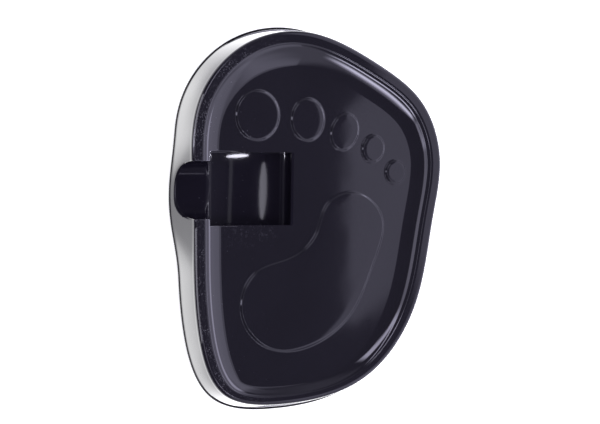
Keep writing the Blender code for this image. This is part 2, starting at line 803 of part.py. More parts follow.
def build_pin(shop):
    """The hinge pin, with a clip in a groove near each end."""
    half = abs(bracket_x("right") - HINGE_X) + BRACKET_THICK + SEAT
    groove = half + CLIP_THICK + 2 * RUN
    neck = PIN_RADIUS - PIN_GROOVE_DEPTH
    end = groove + PIN_END
    upper = [
        (0.0, end),
        (PIN_RADIUS, end),
        (PIN_RADIUS, groove),
        (neck, groove),
        (neck, half),
        (PIN_RADIUS, half),
    ]
    lower = [(radius, -along) for radius, along in reversed(upper)]
    pin = turned("hinge_pin", upper + lower)
    along_x = Matrix.Rotation(math.pi / 2, 4, "Y")
    pin.matrix_world = Matrix.Translation((HINGE_X, HINGE_Y, HINGE_Z)) @ along_x
    shop.part(pin, "zinc_steel")
    for side in ("left", "right"):
        inner = neck + RUN
        profile = [
            (CLIP_RADIUS, CLIP_THICK / 2),
            (CLIP_RADIUS, -CLIP_THICK / 2),
            (inner, -CLIP_THICK / 2),
            (inner, CLIP_THICK / 2),
        ]
        clip = turned("pin_clip_" + side, profile, closed=True)
        x = HINGE_X + outward(side) * (half + RUN + CLIP_THICK / 2)
        clip.matrix_world = Matrix.Translation((x, HINGE_Y, HINGE_Z)) @ along_x
        shop.part(clip, "spring_steel")
        mouth = box(
            "clip_mouth_" + side,
            (x - CLIP_THICK, HINGE_Y - neck, HINGE_Z - 2 * CLIP_RADIUS),
            (x + CLIP_THICK, HINGE_Y + neck, HINGE_Z - neck / 2),
        )
        shop.cut(clip, mouth)


# Screws


def screw(name, length, radius=SCREW_RADIUS, head_radius=SCREW_HEAD_RADIUS):
    """A pan-head screw along Z."""
    return turned(name, screw_profile(length, radius, head_radius), steps=ROUND_SMALL)


def screw_profile(length, radius, head_radius):
    """A pan-head screw's half section: the head's lower face is at 0 and the point at -length."""
    head = SCREW_HEAD_HEIGHT
    return [
        (0.0, head),
        (head_radius - SCREW_CROWN_INSET, head),
        (head_radius, head - SCREW_CROWN_DROP),
        (head_radius, 0.0),
        (radius, 0.0),
        (radius, -length + SCREW_POINT),
        (radius - SCREW_POINT, -length),
        (0.0, -length),
    ]


def hole_z(name, x, y, low, high, radius=SCREW_RADIUS + SEAT):
    """An upright round cutter."""
    return cylinder(name, (x, y, low), (x, y, high), radius, ROUND_SMALL)


# Base


def build_base(shop):
    inset = TRAY_WALL + BASE_CLEARANCE
    rings = [
        inset_ring(inset + BASE_CHAMFER, inset + BASE_CHAMFER, lambda y: FOOT_HEIGHT),
        inset_ring(inset, inset, lambda y: FOOT_HEIGHT + BASE_CHAMFER),
        inset_ring(inset, inset, lambda y: BASE_TOP),
    ]
    base = loft("base_plate", rings)
    shop.part(base, "base_plastic")
    sunk = BASE_THICK / 2
    for number, (x, y) in enumerate(FEET, 1):
        root, top = (x, y, BASE_TOP - sunk), (x, y, BASE_TOP + BOSS_HEIGHT)
        shop.join(base, cylinder(f"boss_{number}", root, top, BOSS_RADIUS))
    for side, x, y in SPRINGS:
        root, top = (x, y, BASE_TOP - sunk), (x, y, BASE_TOP + SPIGOT_HEIGHT)
        shop.join(base, cylinder("base_spigot_" + side, root, top, SPIGOT_RADIUS))
    panel_low = (jack_panel_x(), JACK_Y - JACK_PANEL_WIDTH / 2, BASE_TOP - sunk)
    panel_high = (
        jack_panel_x() + JACK_PANEL_THICK,
        JACK_Y + JACK_PANEL_WIDTH / 2,
        JACK_Z + JACK_NUT_RADIUS,
    )
    shop.join(base, box("jack_panel", panel_low, panel_high))
    clear = JACK_NOSE_RADIUS + SEAT
    panel_mid = jack_panel_x() + JACK_PANEL_THICK / 2
    shop.cut(
        base,
        cylinder(
            "jack_hole",
            (panel_mid - JACK_PANEL_THICK, JACK_Y, JACK_Z),
            (panel_mid + JACK_PANEL_THICK, JACK_Y, JACK_Z),
            clear,
        ),
    )
    shop.cut(base, nut_relief("nut_relief"))
    for number, (x, y) in enumerate(FEET, 1):
        top = foot_screw_seat() + FOOT_SCREW_LENGTH + SEAT
        shop.cut(base, hole_z(f"foot_hole_{number}", x, y, 0.0, top))
    for side in ("left", "right"):
        for number, (x, y) in enumerate(bracket_screw_places(side), 1):
            shop.cut(base, hole_z(f"base_hole_{side}_{number}", x, y, 0.0, BASE_TOP + BASE_THICK))
    x, y = switch_bracket_screw_place()
    shop.cut(base, hole_z("base_hole_switch", x, y, 0.0, BASE_TOP + BASE_THICK))
    build_feet(shop)


def foot_screw_seat():
    """Height of a foot's inner face, where its screw's head sits."""
    return FOOT_RECESS_DEPTH


def build_feet(shop):
    top = FOOT_HEIGHT - SEAT
    hole = SCREW_RADIUS + SEAT
    profile = [
        (FOOT_RADIUS, top),
        (FOOT_RADIUS, FOOT_EDGE_RISE),
        (FOOT_RADIUS - FOOT_EDGE_INSET, 0.0),
        (FOOT_RECESS_RADIUS, 0.0),
        (FOOT_RECESS_RADIUS, FOOT_RECESS_DEPTH),
        (hole, FOOT_RECESS_DEPTH),
        (hole, top),
    ]
    for number, (x, y) in enumerate(FEET, 1):
        foot = turned(f"rubber_foot_{number}", profile, closed=True)
        foot.location = (x, y, 0.0)
        shop.part(foot, "rubber")
        fixing = screw(f"foot_screw_{number}", FOOT_SCREW_LENGTH)
        fixing.rotation_euler = (math.pi, 0.0, 0.0)
        fixing.location = (x, y, foot_screw_seat() - SEAT)
        shop.part(fixing, "zinc_steel")


# Springs and stops


def spring_top(y):
    """Height of the level seat below the tray that a spring pushes on."""
    return under_z(y) - SPRING_SEAT_DROP


def build_springs(shop):
    for side, x, y in SPRINGS:
        low = BASE_TOP + SEAT + SPRING_WIRE / 2
        high = spring_top(y) - SEAT - SPRING_WIRE / 2
        count = SPRING_TURNS * SPRING_TURN_POINTS
        turn = np.arange(count + 1) * 2 * math.pi / SPRING_TURN_POINTS
        climb = np.linspace(low, high, count + 1)
        circle = (x + SPRING_RADIUS * np.cos(turn), y + SPRING_RADIUS * np.sin(turn))
        points = np.stack((*circle, climb), axis=1)
        spring = tube("return_spring_" + side, points, SPRING_WIRE / 2, 1)
        shop.part(spring, "spring_steel")
        away = np.linalg.norm(points[:, None] - points[None], axis=2)
        order = np.arange(count + 1)
        apart = np.abs(np.subtract.outer(order, order)) >= SPRING_TURN_POINTS // 2
        gap = away[apart].min() - SPRING_WIRE
        print(f"return_spring_{side}: least gap between turns {gap * 1000:.2f} mm")


def heel_stop_top():
    return BASE_TOP + SEAT + HEEL_STOP_SIZE[2]


def build_stops(shop):
    wide, deep, _ = HEEL_STOP_SIZE
    heel = box(
        "heel_stop",
        (HEEL_STOP_X - wide / 2, HEEL_STOP_Y - deep / 2, BASE_TOP + SEAT),
        (HEEL_STOP_X + wide / 2, HEEL_STOP_Y + deep / 2, heel_stop_top()),
    )
    rounding = heel.modifiers.new("edges", "BEVEL")
    rounding.width = HEEL_STOP_ROUND
    rounding.segments = 2
    shop.part(heel, "rubber")
    bottom = BASE_TOP + SEAT
    near, far = DOWN_STOP_Y - DOWN_STOP_RADIUS, DOWN_STOP_Y + DOWN_STOP_RADIUS
    lowest_edge = under_z(near) - pressed_drop(far)
    top = lowest_edge - 2 * SEAT
    shoulder = DOWN_STOP_RADIUS - DOWN_STOP_TAPER
    profile = [
        (0.0, top),
        (DOWN_STOP_CROWN, top),
        (shoulder, top - DOWN_STOP_TAPER),
        (DOWN_STOP_RADIUS, bottom + DOWN_STOP_TAPER),
        (DOWN_STOP_RADIUS, bottom),
        (0.0, bottom),
    ]
    stop = turned("down_stop", profile)
    stop.location = (DOWN_STOP_X, DOWN_STOP_Y, 0.0)
    shop.part(stop, "rubber")


# Switch


def switch_bracket_face():
    """The bracket's face beside the switch."""
    return SWITCH_Y + SWITCH_WIDTH / 2 + SEAT


def switch_bracket_screw_place():
    y = switch_bracket_face() + (BRACKET_THICK + SWITCH_BRACKET_FLANGE) / 2
    return SWITCH_X, y


def striker_shank_top():
    return floor_z(SWITCH_Y) - TRAY_WALL / 2


def build_switch(shop):
    half_length, half_width = SWITCH_LENGTH / 2, SWITCH_WIDTH / 2
    body = box(
        "switch_body",
        (SWITCH_X - half_length, SWITCH_Y - half_width, SWITCH_BOTTOM),
        (SWITCH_X + half_length, SWITCH_Y + half_width, SWITCH_TOP),
    )
    shop.part(body, "switch_plastic")
    travel = PLUNGER_ARM * PRESS
    foot = SWITCH_TOP - PLUNGER_SUNK
    plunger = cylinder(
        "switch_plunger", (SWITCH_X, SWITCH_Y, foot), (SWITCH_X, SWITCH_Y, PLUNGER_TOP), PLUNGER_RADIUS
    )
    shop.part(plunger, "plunger_plastic", shop.slide)
    shop.cut(
        body,
        hole_z(
            "plunger_well", SWITCH_X, SWITCH_Y, foot - travel - SEAT, SWITCH_TOP + SEAT, PLUNGER_RADIUS + RUN
        ),
    )

    face = switch_bracket_face()
    thick, reach = BRACKET_THICK, BRACKET_THICK + SWITCH_BRACKET_FLANGE
    angle = [
        (0.0, 0.0),
        (reach, 0.0),
        (reach, thick),
        (thick, thick),
        (thick, SWITCH_HEIGHT),
        (0.0, SWITCH_HEIGHT),
    ]
    bracket = prism("switch_bracket", angle, SWITCH_LENGTH, across_y(SWITCH_X, face, SWITCH_BOTTOM))
    shop.part(bracket, "zinc_steel")
    x, y = switch_bracket_screw_place()
    shop.cut(bracket, hole_z("switch_flange_hole", x, y, BASE_TOP, BASE_TOP + 3 * BRACKET_THICK))
    fixing = screw("switch_bracket_screw", BRACKET_THICK + SEAT + BASE_THICK)
    fixing.location = (x, y, SWITCH_BOTTOM + BRACKET_THICK + SEAT)
    shop.part(fixing, "zinc_steel")

    height = SWITCH_BOTTOM + SWITCH_SCREW_RISE
    for number, way in ((1, -1), (2, 1)):
        x = SWITCH_X + way * SWITCH_SCREW_SPREAD / 2
        start = (x, SWITCH_Y - SWITCH_WIDTH, height)
        end = (x, face + 2 * BRACKET_THICK, height)
        radius = SWITCH_SCREW_RADIUS + SEAT
        shop.cut(body, cylinder(f"switch_hole_{number}", start, end, radius))
        shop.cut(bracket, cylinder(f"switch_bracket_hole_{number}", start, end, radius))
        length = SWITCH_WIDTH + BRACKET_THICK + 3 * SEAT
        fixing = screw(f"switch_screw_{number}", length, SWITCH_SCREW_RADIUS, SWITCH_SCREW_HEAD_RADIUS)
        fixing.rotation_euler = (math.pi / 2, 0.0, 0.0)
        fixing.location = (x, SWITCH_Y - half_width - SEAT, height)
        shop.part(fixing, "zinc_steel")

    profile = [
        (0.0, striker_shank_top()),
        (STRIKER_SHANK_RADIUS, striker_shank_top()),
        (STRIKER_SHANK_RADIUS, STRIKER_TOP),
        (STRIKER_RADIUS, STRIKER_TOP),
        (STRIKER_RADIUS, STRIKER_BOTTOM + STRIKER_EDGE_RISE),
        (STRIKER_RADIUS - STRIKER_EDGE_INSET, STRIKER_BOTTOM),
        (0.0, STRIKER_BOTTOM),
    ]
    striker = turned("striker_button", profile)
    striker.location = (SWITCH_X, SWITCH_Y, 0.0)
    shop.part(striker, "nylon", shop.axis)
    return body


# Jack socket


def base_edge_x():
    """Where the base's outer edge lies beside the jack."""
    ring = np.array(inset_ring(TRAY_WALL + BASE_CLEARANCE, TRAY_WALL + BASE_CLEARANCE, lambda y: 0.0))
    near = (np.abs(ring[:, 1] - JACK_Y) < JACK_PANEL_WIDTH) & (ring[:, 0] > 0)
    return ring[near, 0].min()


def jack_panel_x():
    """Inner face of the panel that carries the jack."""
    return base_edge_x() - JACK_PANEL_THICK


def jack_nose_end():
    return base_edge_x() + SEAT + JACK_NUT_THICK + JACK_NOSE_OUT


def nut_relief(name):
    """A cut in the base's edge, where the nut reaches below its top."""
    wide = JACK_NUT_RADIUS + 2 * SEAT
    low = (base_edge_x(), JACK_Y - wide, 0.0)
    high = (TRAY_LOOP[:, 0].max(), JACK_Y + wide, BASE_TOP + BASE_THICK)
    return box(name, low, high)


def jack_notch(name):
    """An arched cut in the skirt, for the nut and a plug at every angle of the tray."""
    half = NOTCH_WIDTH / 2
    top = JACK_Z + JACK_NUT_RADIUS + pressed_drop(JACK_Y) + NOTCH_TOP_GAP - half
    turns = [math.pi * i / TROUGH_STEPS for i in range(TROUGH_STEPS + 1)]
    arc = [(half * math.cos(t), top + half * math.sin(t)) for t in turns]
    section = arc + [(-half, 0.0), (half, 0.0)]
    start = jack_panel_x()
    end = TRAY_LOOP[:, 0].max() + TRAY_WALL
    return prism(name, section, end - start, across_y((start + end) / 2, JACK_Y, 0.0))


def build_jack(shop):
    front = jack_panel_x() - SEAT
    back = front - JACK_LENGTH
    jack = box(
        "jack_socket",
        (back, JACK_Y - JACK_WIDTH / 2, JACK_BOTTOM),
        (front, JACK_Y + JACK_WIDTH / 2, JACK_BOTTOM + JACK_HEIGHT),
    )
    shop.part(jack, "switch_plastic")
    nose = (jack_nose_end(), JACK_Y, JACK_Z)
    shop.join(jack, cylinder("jack_nose", (front - JACK_BACK_WALL, JACK_Y, JACK_Z), nose, JACK_NOSE_RADIUS))
    mouth = (jack_nose_end() + JACK_NOSE_OUT, JACK_Y, JACK_Z)
    shop.cut(jack, cylinder("jack_bore", (back + JACK_BACK_WALL, JACK_Y, JACK_Z), mouth, JACK_BORE_RADIUS))

    start = base_edge_x() + SEAT
    nut = cylinder(
        "jack_nut", (start, JACK_Y, JACK_Z), (start + JACK_NUT_THICK, JACK_Y, JACK_Z), JACK_NUT_RADIUS, 6
    )
    shop.part(nut, "zinc_steel")
    clear = JACK_NOSE_RADIUS + RUN
    start_hole = (start - JACK_NUT_THICK, JACK_Y, JACK_Z)
    end_hole = (start + 2 * JACK_NUT_THICK, JACK_Y, JACK_Z)
    shop.cut(nut, cylinder("jack_nut_hole", start_hole, end_hole, clear))
    return jack, back


# Blades and wires


def blade(shop, name, holder, root, way):
    """A brass blade along X, sunk in its holder, with its root on the holder's face."""
    x, y, z = root
    first = x - way * BLADE_SUNK
    last = x + way * (BLADE_LENGTH - BLADE_SUNK)
    half = (BLADE_THICK / 2, BLADE_HEIGHT / 2)
    piece = box(
        name, (min(first, last), y - half[0], z - half[1]), (max(first, last), y + half[0], z + half[1])
    )
    shop.part(piece, "brass")
    deep = first - way * SEAT
    slot = box(
        name + "_slot",
        (min(deep, last), y - half[0] - SEAT, z - half[1] - SEAT),
        (max(deep, last), y + half[0] + SEAT, z + half[1] + SEAT),
    )
    shop.cut(holder, slot)
    return last


def build_wiring(shop, body, jack, jack_back):
    """Two blades on the switch, two on the jack, and a wire between each pair."""
    face = SWITCH_X + SWITCH_LENGTH / 2
    low = SWITCH_BOTTOM + SWITCH_BLADE_RISE
    for number, way in ((1, -1), (2, 1)):
        switch_y = SWITCH_Y + way * SWITCH_BLADE_SPREAD / 2
        jack_y = JACK_Y + way * JACK_BLADE_SPREAD / 2
        start = blade(shop, f"switch_terminal_{number}", body, (face, switch_y, low), 1)
        end = blade(shop, f"jack_lug_{number}", jack, (jack_back, jack_y, JACK_Z), -1)
        route = wire_route((start + SEAT, switch_y, low), (end - SEAT, jack_y, JACK_Z))
        shop.part(tube(f"lead_wire_{number}", route, WIRE_RADIUS, 2), "wire_cover")


def wire_route(start, end):
    """A smooth lead that leaves and arrives along X and dips to the base between."""
    start, end = np.array(start), np.array(end)
    t = np.linspace(0.0, 1.0, WIRE_STEPS)[:, None]
    ease = t * t * (3 - 2 * t)
    points = start + (end - start) * ease
    points[:, 0] = (start + (end - start) * t)[:, 0]
    rest = BASE_TOP + SEAT + WIRE_RADIUS
    dip = np.sin(math.pi * t[:, 0]) ** 2
    points[:, 2] += (rest - points[:, 2]) * dip
    return points


def main():
    clear_scene()
    shop = Workshop()
    build_base(shop)
    build_hinge(shop)
    build_springs(shop)
    build_stops(shop)
    body = build_switch(shop)
    jack, jack_back = build_jack(shop)
    build_wiring(shop, body, jack, jack_back)
    build_tray(shop)


main()
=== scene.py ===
"""Looks of the foot pedal: a glossy footprint tray over a base with feet, springs, a switch and a jack.

Metres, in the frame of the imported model: +Z up, +Y to the toes, -X to the big toe's side.
"""

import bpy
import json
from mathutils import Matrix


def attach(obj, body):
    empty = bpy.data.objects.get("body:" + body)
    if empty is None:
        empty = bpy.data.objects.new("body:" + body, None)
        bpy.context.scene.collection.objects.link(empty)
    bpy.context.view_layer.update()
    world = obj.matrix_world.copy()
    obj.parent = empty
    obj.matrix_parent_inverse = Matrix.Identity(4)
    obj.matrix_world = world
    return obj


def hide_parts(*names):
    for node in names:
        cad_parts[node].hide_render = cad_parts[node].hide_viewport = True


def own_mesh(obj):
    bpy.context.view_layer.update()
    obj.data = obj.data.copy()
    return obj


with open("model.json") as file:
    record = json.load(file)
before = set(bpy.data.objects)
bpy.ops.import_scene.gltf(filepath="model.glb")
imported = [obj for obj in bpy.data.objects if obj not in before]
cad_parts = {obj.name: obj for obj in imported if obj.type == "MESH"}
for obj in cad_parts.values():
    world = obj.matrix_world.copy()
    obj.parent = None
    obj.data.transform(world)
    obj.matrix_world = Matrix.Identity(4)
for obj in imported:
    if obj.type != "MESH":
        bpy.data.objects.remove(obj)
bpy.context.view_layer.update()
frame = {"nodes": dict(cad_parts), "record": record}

import json
import logging
import math
from dataclasses import dataclass, field
from enum import Enum
from functools import reduce

import bpy
import numpy as np
from mathutils import Matrix, Vector
from mathutils.geometry import delaunay_2d_cdt

Array = np.ndarray
Pair = tuple[float, float]
Triple = tuple[float, float, float]
Quad = tuple[float, float, float, float]
Row = tuple[float, ...]
Pairs = tuple[Pair, ...]
Object = bpy.types.Object
Material = bpy.types.Material
Node = bpy.types.Node
Socket = bpy.types.NodeSocket

LOG = logging.getLogger("foot_pedal")
WELD = 1e-8
SHARP_DEG = 40.0
ASKEW = (0.267, 0.535, 0.802)
TREADLE = "treadle"
BASE = "base"


class Face(Enum):
    """Which of the tray's two skins is made."""

    UPPER = "upper"
    LOWER = "lower"


# Surfaces as arrays


@dataclass
class Surface:
    """Points with quads and triangles that name them, and a mark from 0 to 1 on each point."""

    points: Array
    quads: Array = field(default_factory=lambda: np.zeros((0, 4), int))
    tris: Array = field(default_factory=lambda: np.zeros((0, 3), int))
    mark: Array | None = None

    def marks(self) -> Array:
        """The mark of each point, 0 where none was given."""
        return np.zeros(len(self.points)) if self.mark is None else self.mark

    def flipped(self) -> "Surface":
        """The same surface with its faces turned round."""
        return Surface(self.points, self.quads[:, ::-1], self.tris[:, ::-1], self.mark)

    def moved(self, matrix: Matrix) -> "Surface":
        """The surface carried by a 4 by 4 matrix."""
        points = self.points @ np.array(matrix.to_3x3()).T + np.array(matrix.translation)
        return Surface(points, self.quads, self.tris, self.mark)


def grid(points: Array, wrap: bool = False, mark: Array | None = None) -> Surface:
    """Quads over an array of points.

    Args:
        points: rows by columns by 3; a face's normal is column direction cross row direction.
        wrap: whether the last column joins the first.
        mark: rows by columns, the mark of each point.

    Returns:
        The grid.
    """
    rows, columns = points.shape[:2]
    number = np.arange(rows * columns).reshape(rows, columns)
    ahead = np.roll(number, -1, axis=1)
    if not wrap:
        number, ahead = number[:, :-1], ahead[:, :-1]
    quads = np.stack((number[:-1], ahead[:-1], ahead[1:], number[1:]), axis=-1).reshape(-1, 4)
    return Surface(points.reshape(-1, 3), quads, mark=None if mark is None else mark.ravel())


def joined(surfaces: list[Surface]) -> Surface:
    """Several surfaces as one, points that coincide welded and faces without area dropped.

    Args:
        surfaces: the ones to join.

    Returns:
        One surface whose faces share their points.
    """
    starts = np.cumsum([0] + [len(s.points) for s in surfaces])
    points = np.concatenate([s.points for s in surfaces])
    marks = np.concatenate([s.marks() for s in surfaces])
    quads = np.concatenate([s.quads + start for s, start in zip(surfaces, starts)])
    tris = np.concatenate([s.tris + start for s, start in zip(surfaces, starts)])
    _, first, number = np.unique(np.round(points / WELD), axis=0, return_index=True, return_inverse=True)
    number = number.ravel()
    quads, tris = number[quads], number[tris]
    same = quads == np.roll(quads, -1, axis=1)
    whole = quads[~same.any(axis=1)]
    narrow = quads[same.sum(axis=1) == 1]
    keep = ~same[same.sum(axis=1) == 1]
    tris = np.concatenate((tris, narrow[keep].reshape(-1, 3)))
    flat = (tris == np.roll(tris, -1, axis=1)).any(axis=1)
    crossed = (whole[:, 0] == whole[:, 2]) | (whole[:, 1] == whole[:, 3])
    return Surface(points[first], whole[~crossed], tris[~flat], marks[first])


def capped(loop: Array, up: bool = True) -> Surface:
    """A fan from a loop's middle to its points.

    Args:
        loop: points by 3, counter-clockwise seen from above.
        up: whether the fan faces up.

    Returns:
        The fan.
    """
    count = len(loop)
    points = np.concatenate((loop, loop.mean(axis=0)[None]))
    number = np.arange(count)
    tris = np.stack((number, np.roll(number, -1), np.full(count, count)), axis=1)
    return Surface(points, tris=tris if up else tris[:, ::-1])


def round_angles(steps: int) -> Array:
    """Equal angles round one full turn."""
    return np.linspace(0.0, 2 * math.pi, steps, endpoint=False)


def revolved(profile: Array, steps: int) -> Surface:
    """A profile of radius and height, listed from the bottom up its outer side, turned about Z.

    A point at turn a is (radius cos a, radius sin a, height). Ends on the axis close by welding.

    Args:
        profile: points by 2.
        steps: points in a turn.

    Returns:
        The turned surface, facing out.
    """
    turn = round_angles(steps)
    radius, height = profile.T[..., None]
    points = (radius * np.cos(turn), radius * np.sin(turn), np.repeat(height, steps, axis=1))
    return joined([grid(np.stack(points, axis=-1), wrap=True)])


def tube(path: Array, radius: float, steps: int) -> Surface:
    """A round section carried along a path, with closed ends.

    The section's first axis is the path's direction crossed with a fixed vector that the path never
    follows, so the section doesn't twist.

    Args:
        path: points by 3.
        radius: of the section.
        steps: points round the section.

    Returns:
        The tube, facing out.
    """
    run = np.gradient(path, axis=0)
    run /= np.linalg.norm(run, axis=1)[:, None]
    aside = np.cross(run, ASKEW)
    aside /= np.linalg.norm(aside, axis=1)[:, None]
    over = np.cross(run, aside)
    turn = round_angles(steps)[:, None]
    ring = np.cos(turn) * aside[:, None] + np.sin(turn) * over[:, None]
    points = path[:, None] + radius * ring
    ends = [capped(points[0], up=False), capped(points[-1])]
    return joined([grid(points, wrap=True), *ends])


def filleted(corners: Array, radii: Array, steps: int) -> Array:
    """A path of straight runs whose corners are round.

    At each corner an arc of the given radius touches both runs. It starts and ends at radius times
    the tangent of half the turn from the corner.

    Args:
        corners: points by 2, with the two ends.
        radii: one for each corner between the ends.
        steps: spaces along each arc.

    Returns:
        Points by 2.
    """
    before, corner, after = corners[:-2], corners[1:-1], corners[2:]
    into = (corner - before) / np.linalg.norm(corner - before, axis=1)[:, None]
    out = (after - corner) / np.linalg.norm(after - corner, axis=1)[:, None]
    turn = np.arctan2(into[:, 0] * out[:, 1] - into[:, 1] * out[:, 0], (into * out).sum(axis=1))
    side = np.sign(turn)[:, None]
    left = np.stack((-into[:, 1], into[:, 0]), axis=1)
    start = corner - into * (radii * np.tan(np.abs(turn) / 2))[:, None]
    share = np.linspace(0.0, 1.0, steps + 1)
    angle = np.abs(turn)[:, None] * share
    along = radii[:, None] * np.sin(angle)
    across = radii[:, None] * (1 - np.cos(angle))
    arcs = start[:, None] + along[..., None] * into[:, None] + across[..., None] * (side * left)[:, None]
    return np.concatenate((corners[:1], arcs.reshape(-1, 2), corners[-1:]))


def powered(value: Array, power: float) -> Array:
    """A power of a value's size, with the value's sign."""
    return np.sign(value) * np.abs(value) ** power


def bezier(corners: Array, steps: int) -> Array:
    """A quadratic curve from the first of three points to the last, drawn towards the middle one."""
    t = np.linspace(0.0, 1.0, steps + 1)[:, None]
    return (1 - t) ** 2 * corners[0] + 2 * t * (1 - t) * corners[1] + t**2 * corners[2]


def smooth_step(value: Array, low: float, high: float) -> Array:
    """0 below low, 1 above high, and a smooth S between."""
    t = np.clip((value - low) / (high - low), 0.0, 1.0)
    return t * t * (3 - 2 * t)


def shown(name: str, surface: Surface) -> Object:
    """A mesh object of a surface, smooth but for its sharp edges.

    Args:
        name: of the object and its mesh.
        surface: what to show; its marks become the attribute "mark".

    Returns:
        The object, linked to the scene.
    """
    mesh = bpy.data.meshes.new(name)
    mesh.from_pydata(surface.points.tolist(), [], surface.quads.tolist() + surface.tris.tolist())
    attribute = mesh.attributes.new("mark", "FLOAT", "POINT")
    attribute.data.foreach_set("value", surface.marks().astype(np.float32))
    mesh.validate()
    mesh.shade_smooth()
    mesh.set_sharp_from_angle(angle=math.radians(SHARP_DEG))
    obj = bpy.data.objects.new(name, mesh)
    bpy.context.scene.collection.objects.link(obj)
    return obj


def carved(obj: Object, cutter: Object) -> None:
    """Takes the cutter's shape out of an object's mesh, and removes the cutter.

    Args:
        obj: the object, which gets a new mesh.
        cutter: a closed mesh.
    """
    cut = obj.modifiers.new("cut", "BOOLEAN")
    cut.operation = "DIFFERENCE"
    cut.solver = "EXACT"
    cut.object = cutter
    bpy.context.view_layer.update()
    whole = bpy.data.meshes.new_from_object(obj.evaluated_get(bpy.context.evaluated_depsgraph_get()))
    obj.modifiers.clear()
    obj.data = whole
    whole.set_sharp_from_angle(angle=math.radians(SHARP_DEG))
    bpy.data.objects.remove(cutter)


# Closed outlines


@dataclass(frozen=True)
class Outline:
    """A closed cubic spline through knots, listed counter-clockwise.

    The second derivatives at the knots solve the usual cyclic three-term equations, so that the
    curvature is even.
    """

    knots: Pairs

    def at(self, count: int) -> tuple[Array, Array]:
        """Points and outward normals at equal steps of the chord length.

        Args:
            count: how many points.

        Returns:
            Points by 2, and normals by 2.
        """
        knots = np.asarray(self.knots)
        size = len(knots)
        ahead = np.roll(knots, -1, axis=0)
        step = np.hypot(*(ahead - knots).T)
        slope = (ahead - knots) / step[:, None]
        number = np.arange(size)
        system = np.zeros((size, size))
        system[number, number - 1] += np.roll(step, 1)
        system[number, number] += 2 * (np.roll(step, 1) + step)
        system[number, (number + 1) % size] += step
        bend = np.linalg.solve(system, 6 * (slope - np.roll(slope, 1, axis=0)))
        ends = np.concatenate(([0.0], np.cumsum(step)))
        place = np.linspace(0.0, ends[-1], count, endpoint=False)
        i = np.searchsorted(ends, place, side="right") - 1
        j = (i + 1) % size
        reach = step[i][:, None]
        b = ((place - ends[i]) / step[i])[:, None]
        a = 1 - b
        curve = ((a**3 - a) * bend[i] + (b**3 - b) * bend[j]) * reach**2 / 6
        points = a * knots[i] + b * knots[j] + curve
        run = slope[i] + ((3 * b**2 - 1) * bend[j] - (3 * a**2 - 1) * bend[i]) * reach / 6
        normals = np.stack((run[:, 1], -run[:, 0]), axis=1)
        return points, normals / np.hypot(*normals.T)[:, None]


@dataclass(frozen=True)
class Toe:
    """A leaning ellipse: middle, half width, half length, and lean in degrees."""

    x: float
    y: float
    half_width: float
    half_length: float
    lean_deg: float

    def at(self, count: int) -> tuple[Array, Array]:
        """Points and outward normals at equal turns, counter-clockwise.

        A point is (half width cos a, half length sin a), turned by the lean; its normal has the two
        halves swapped.

        Args:
            count: how many points.

        Returns:
            Points by 2, and normals by 2.
        """
        turn = round_angles(count)
        lean = math.radians(self.lean_deg)
        spin = np.array(((math.cos(lean), -math.sin(lean)), (math.sin(lean), math.cos(lean))))
        round_part = np.stack((np.cos(turn), np.sin(turn)), axis=1)
        points = round_part * (self.half_width, self.half_length)
        normals = round_part * (self.half_length, self.half_width)
        normals /= np.hypot(*normals.T)[:, None]
        return points @ spin.T + (self.x, self.y), normals @ spin.T


# Tray


@dataclass
class Profile:
    """The tray's section from the skirt inwards.

    A point stands in from the outline by inset. Its height is between the skirt's edge plus rise and
    the rim less drop, by its share: 0 at the edge, 1 from the rim on.
    """

    inset: Array
    share: Array
    rise: Array
    drop: Array
    pocket: Array


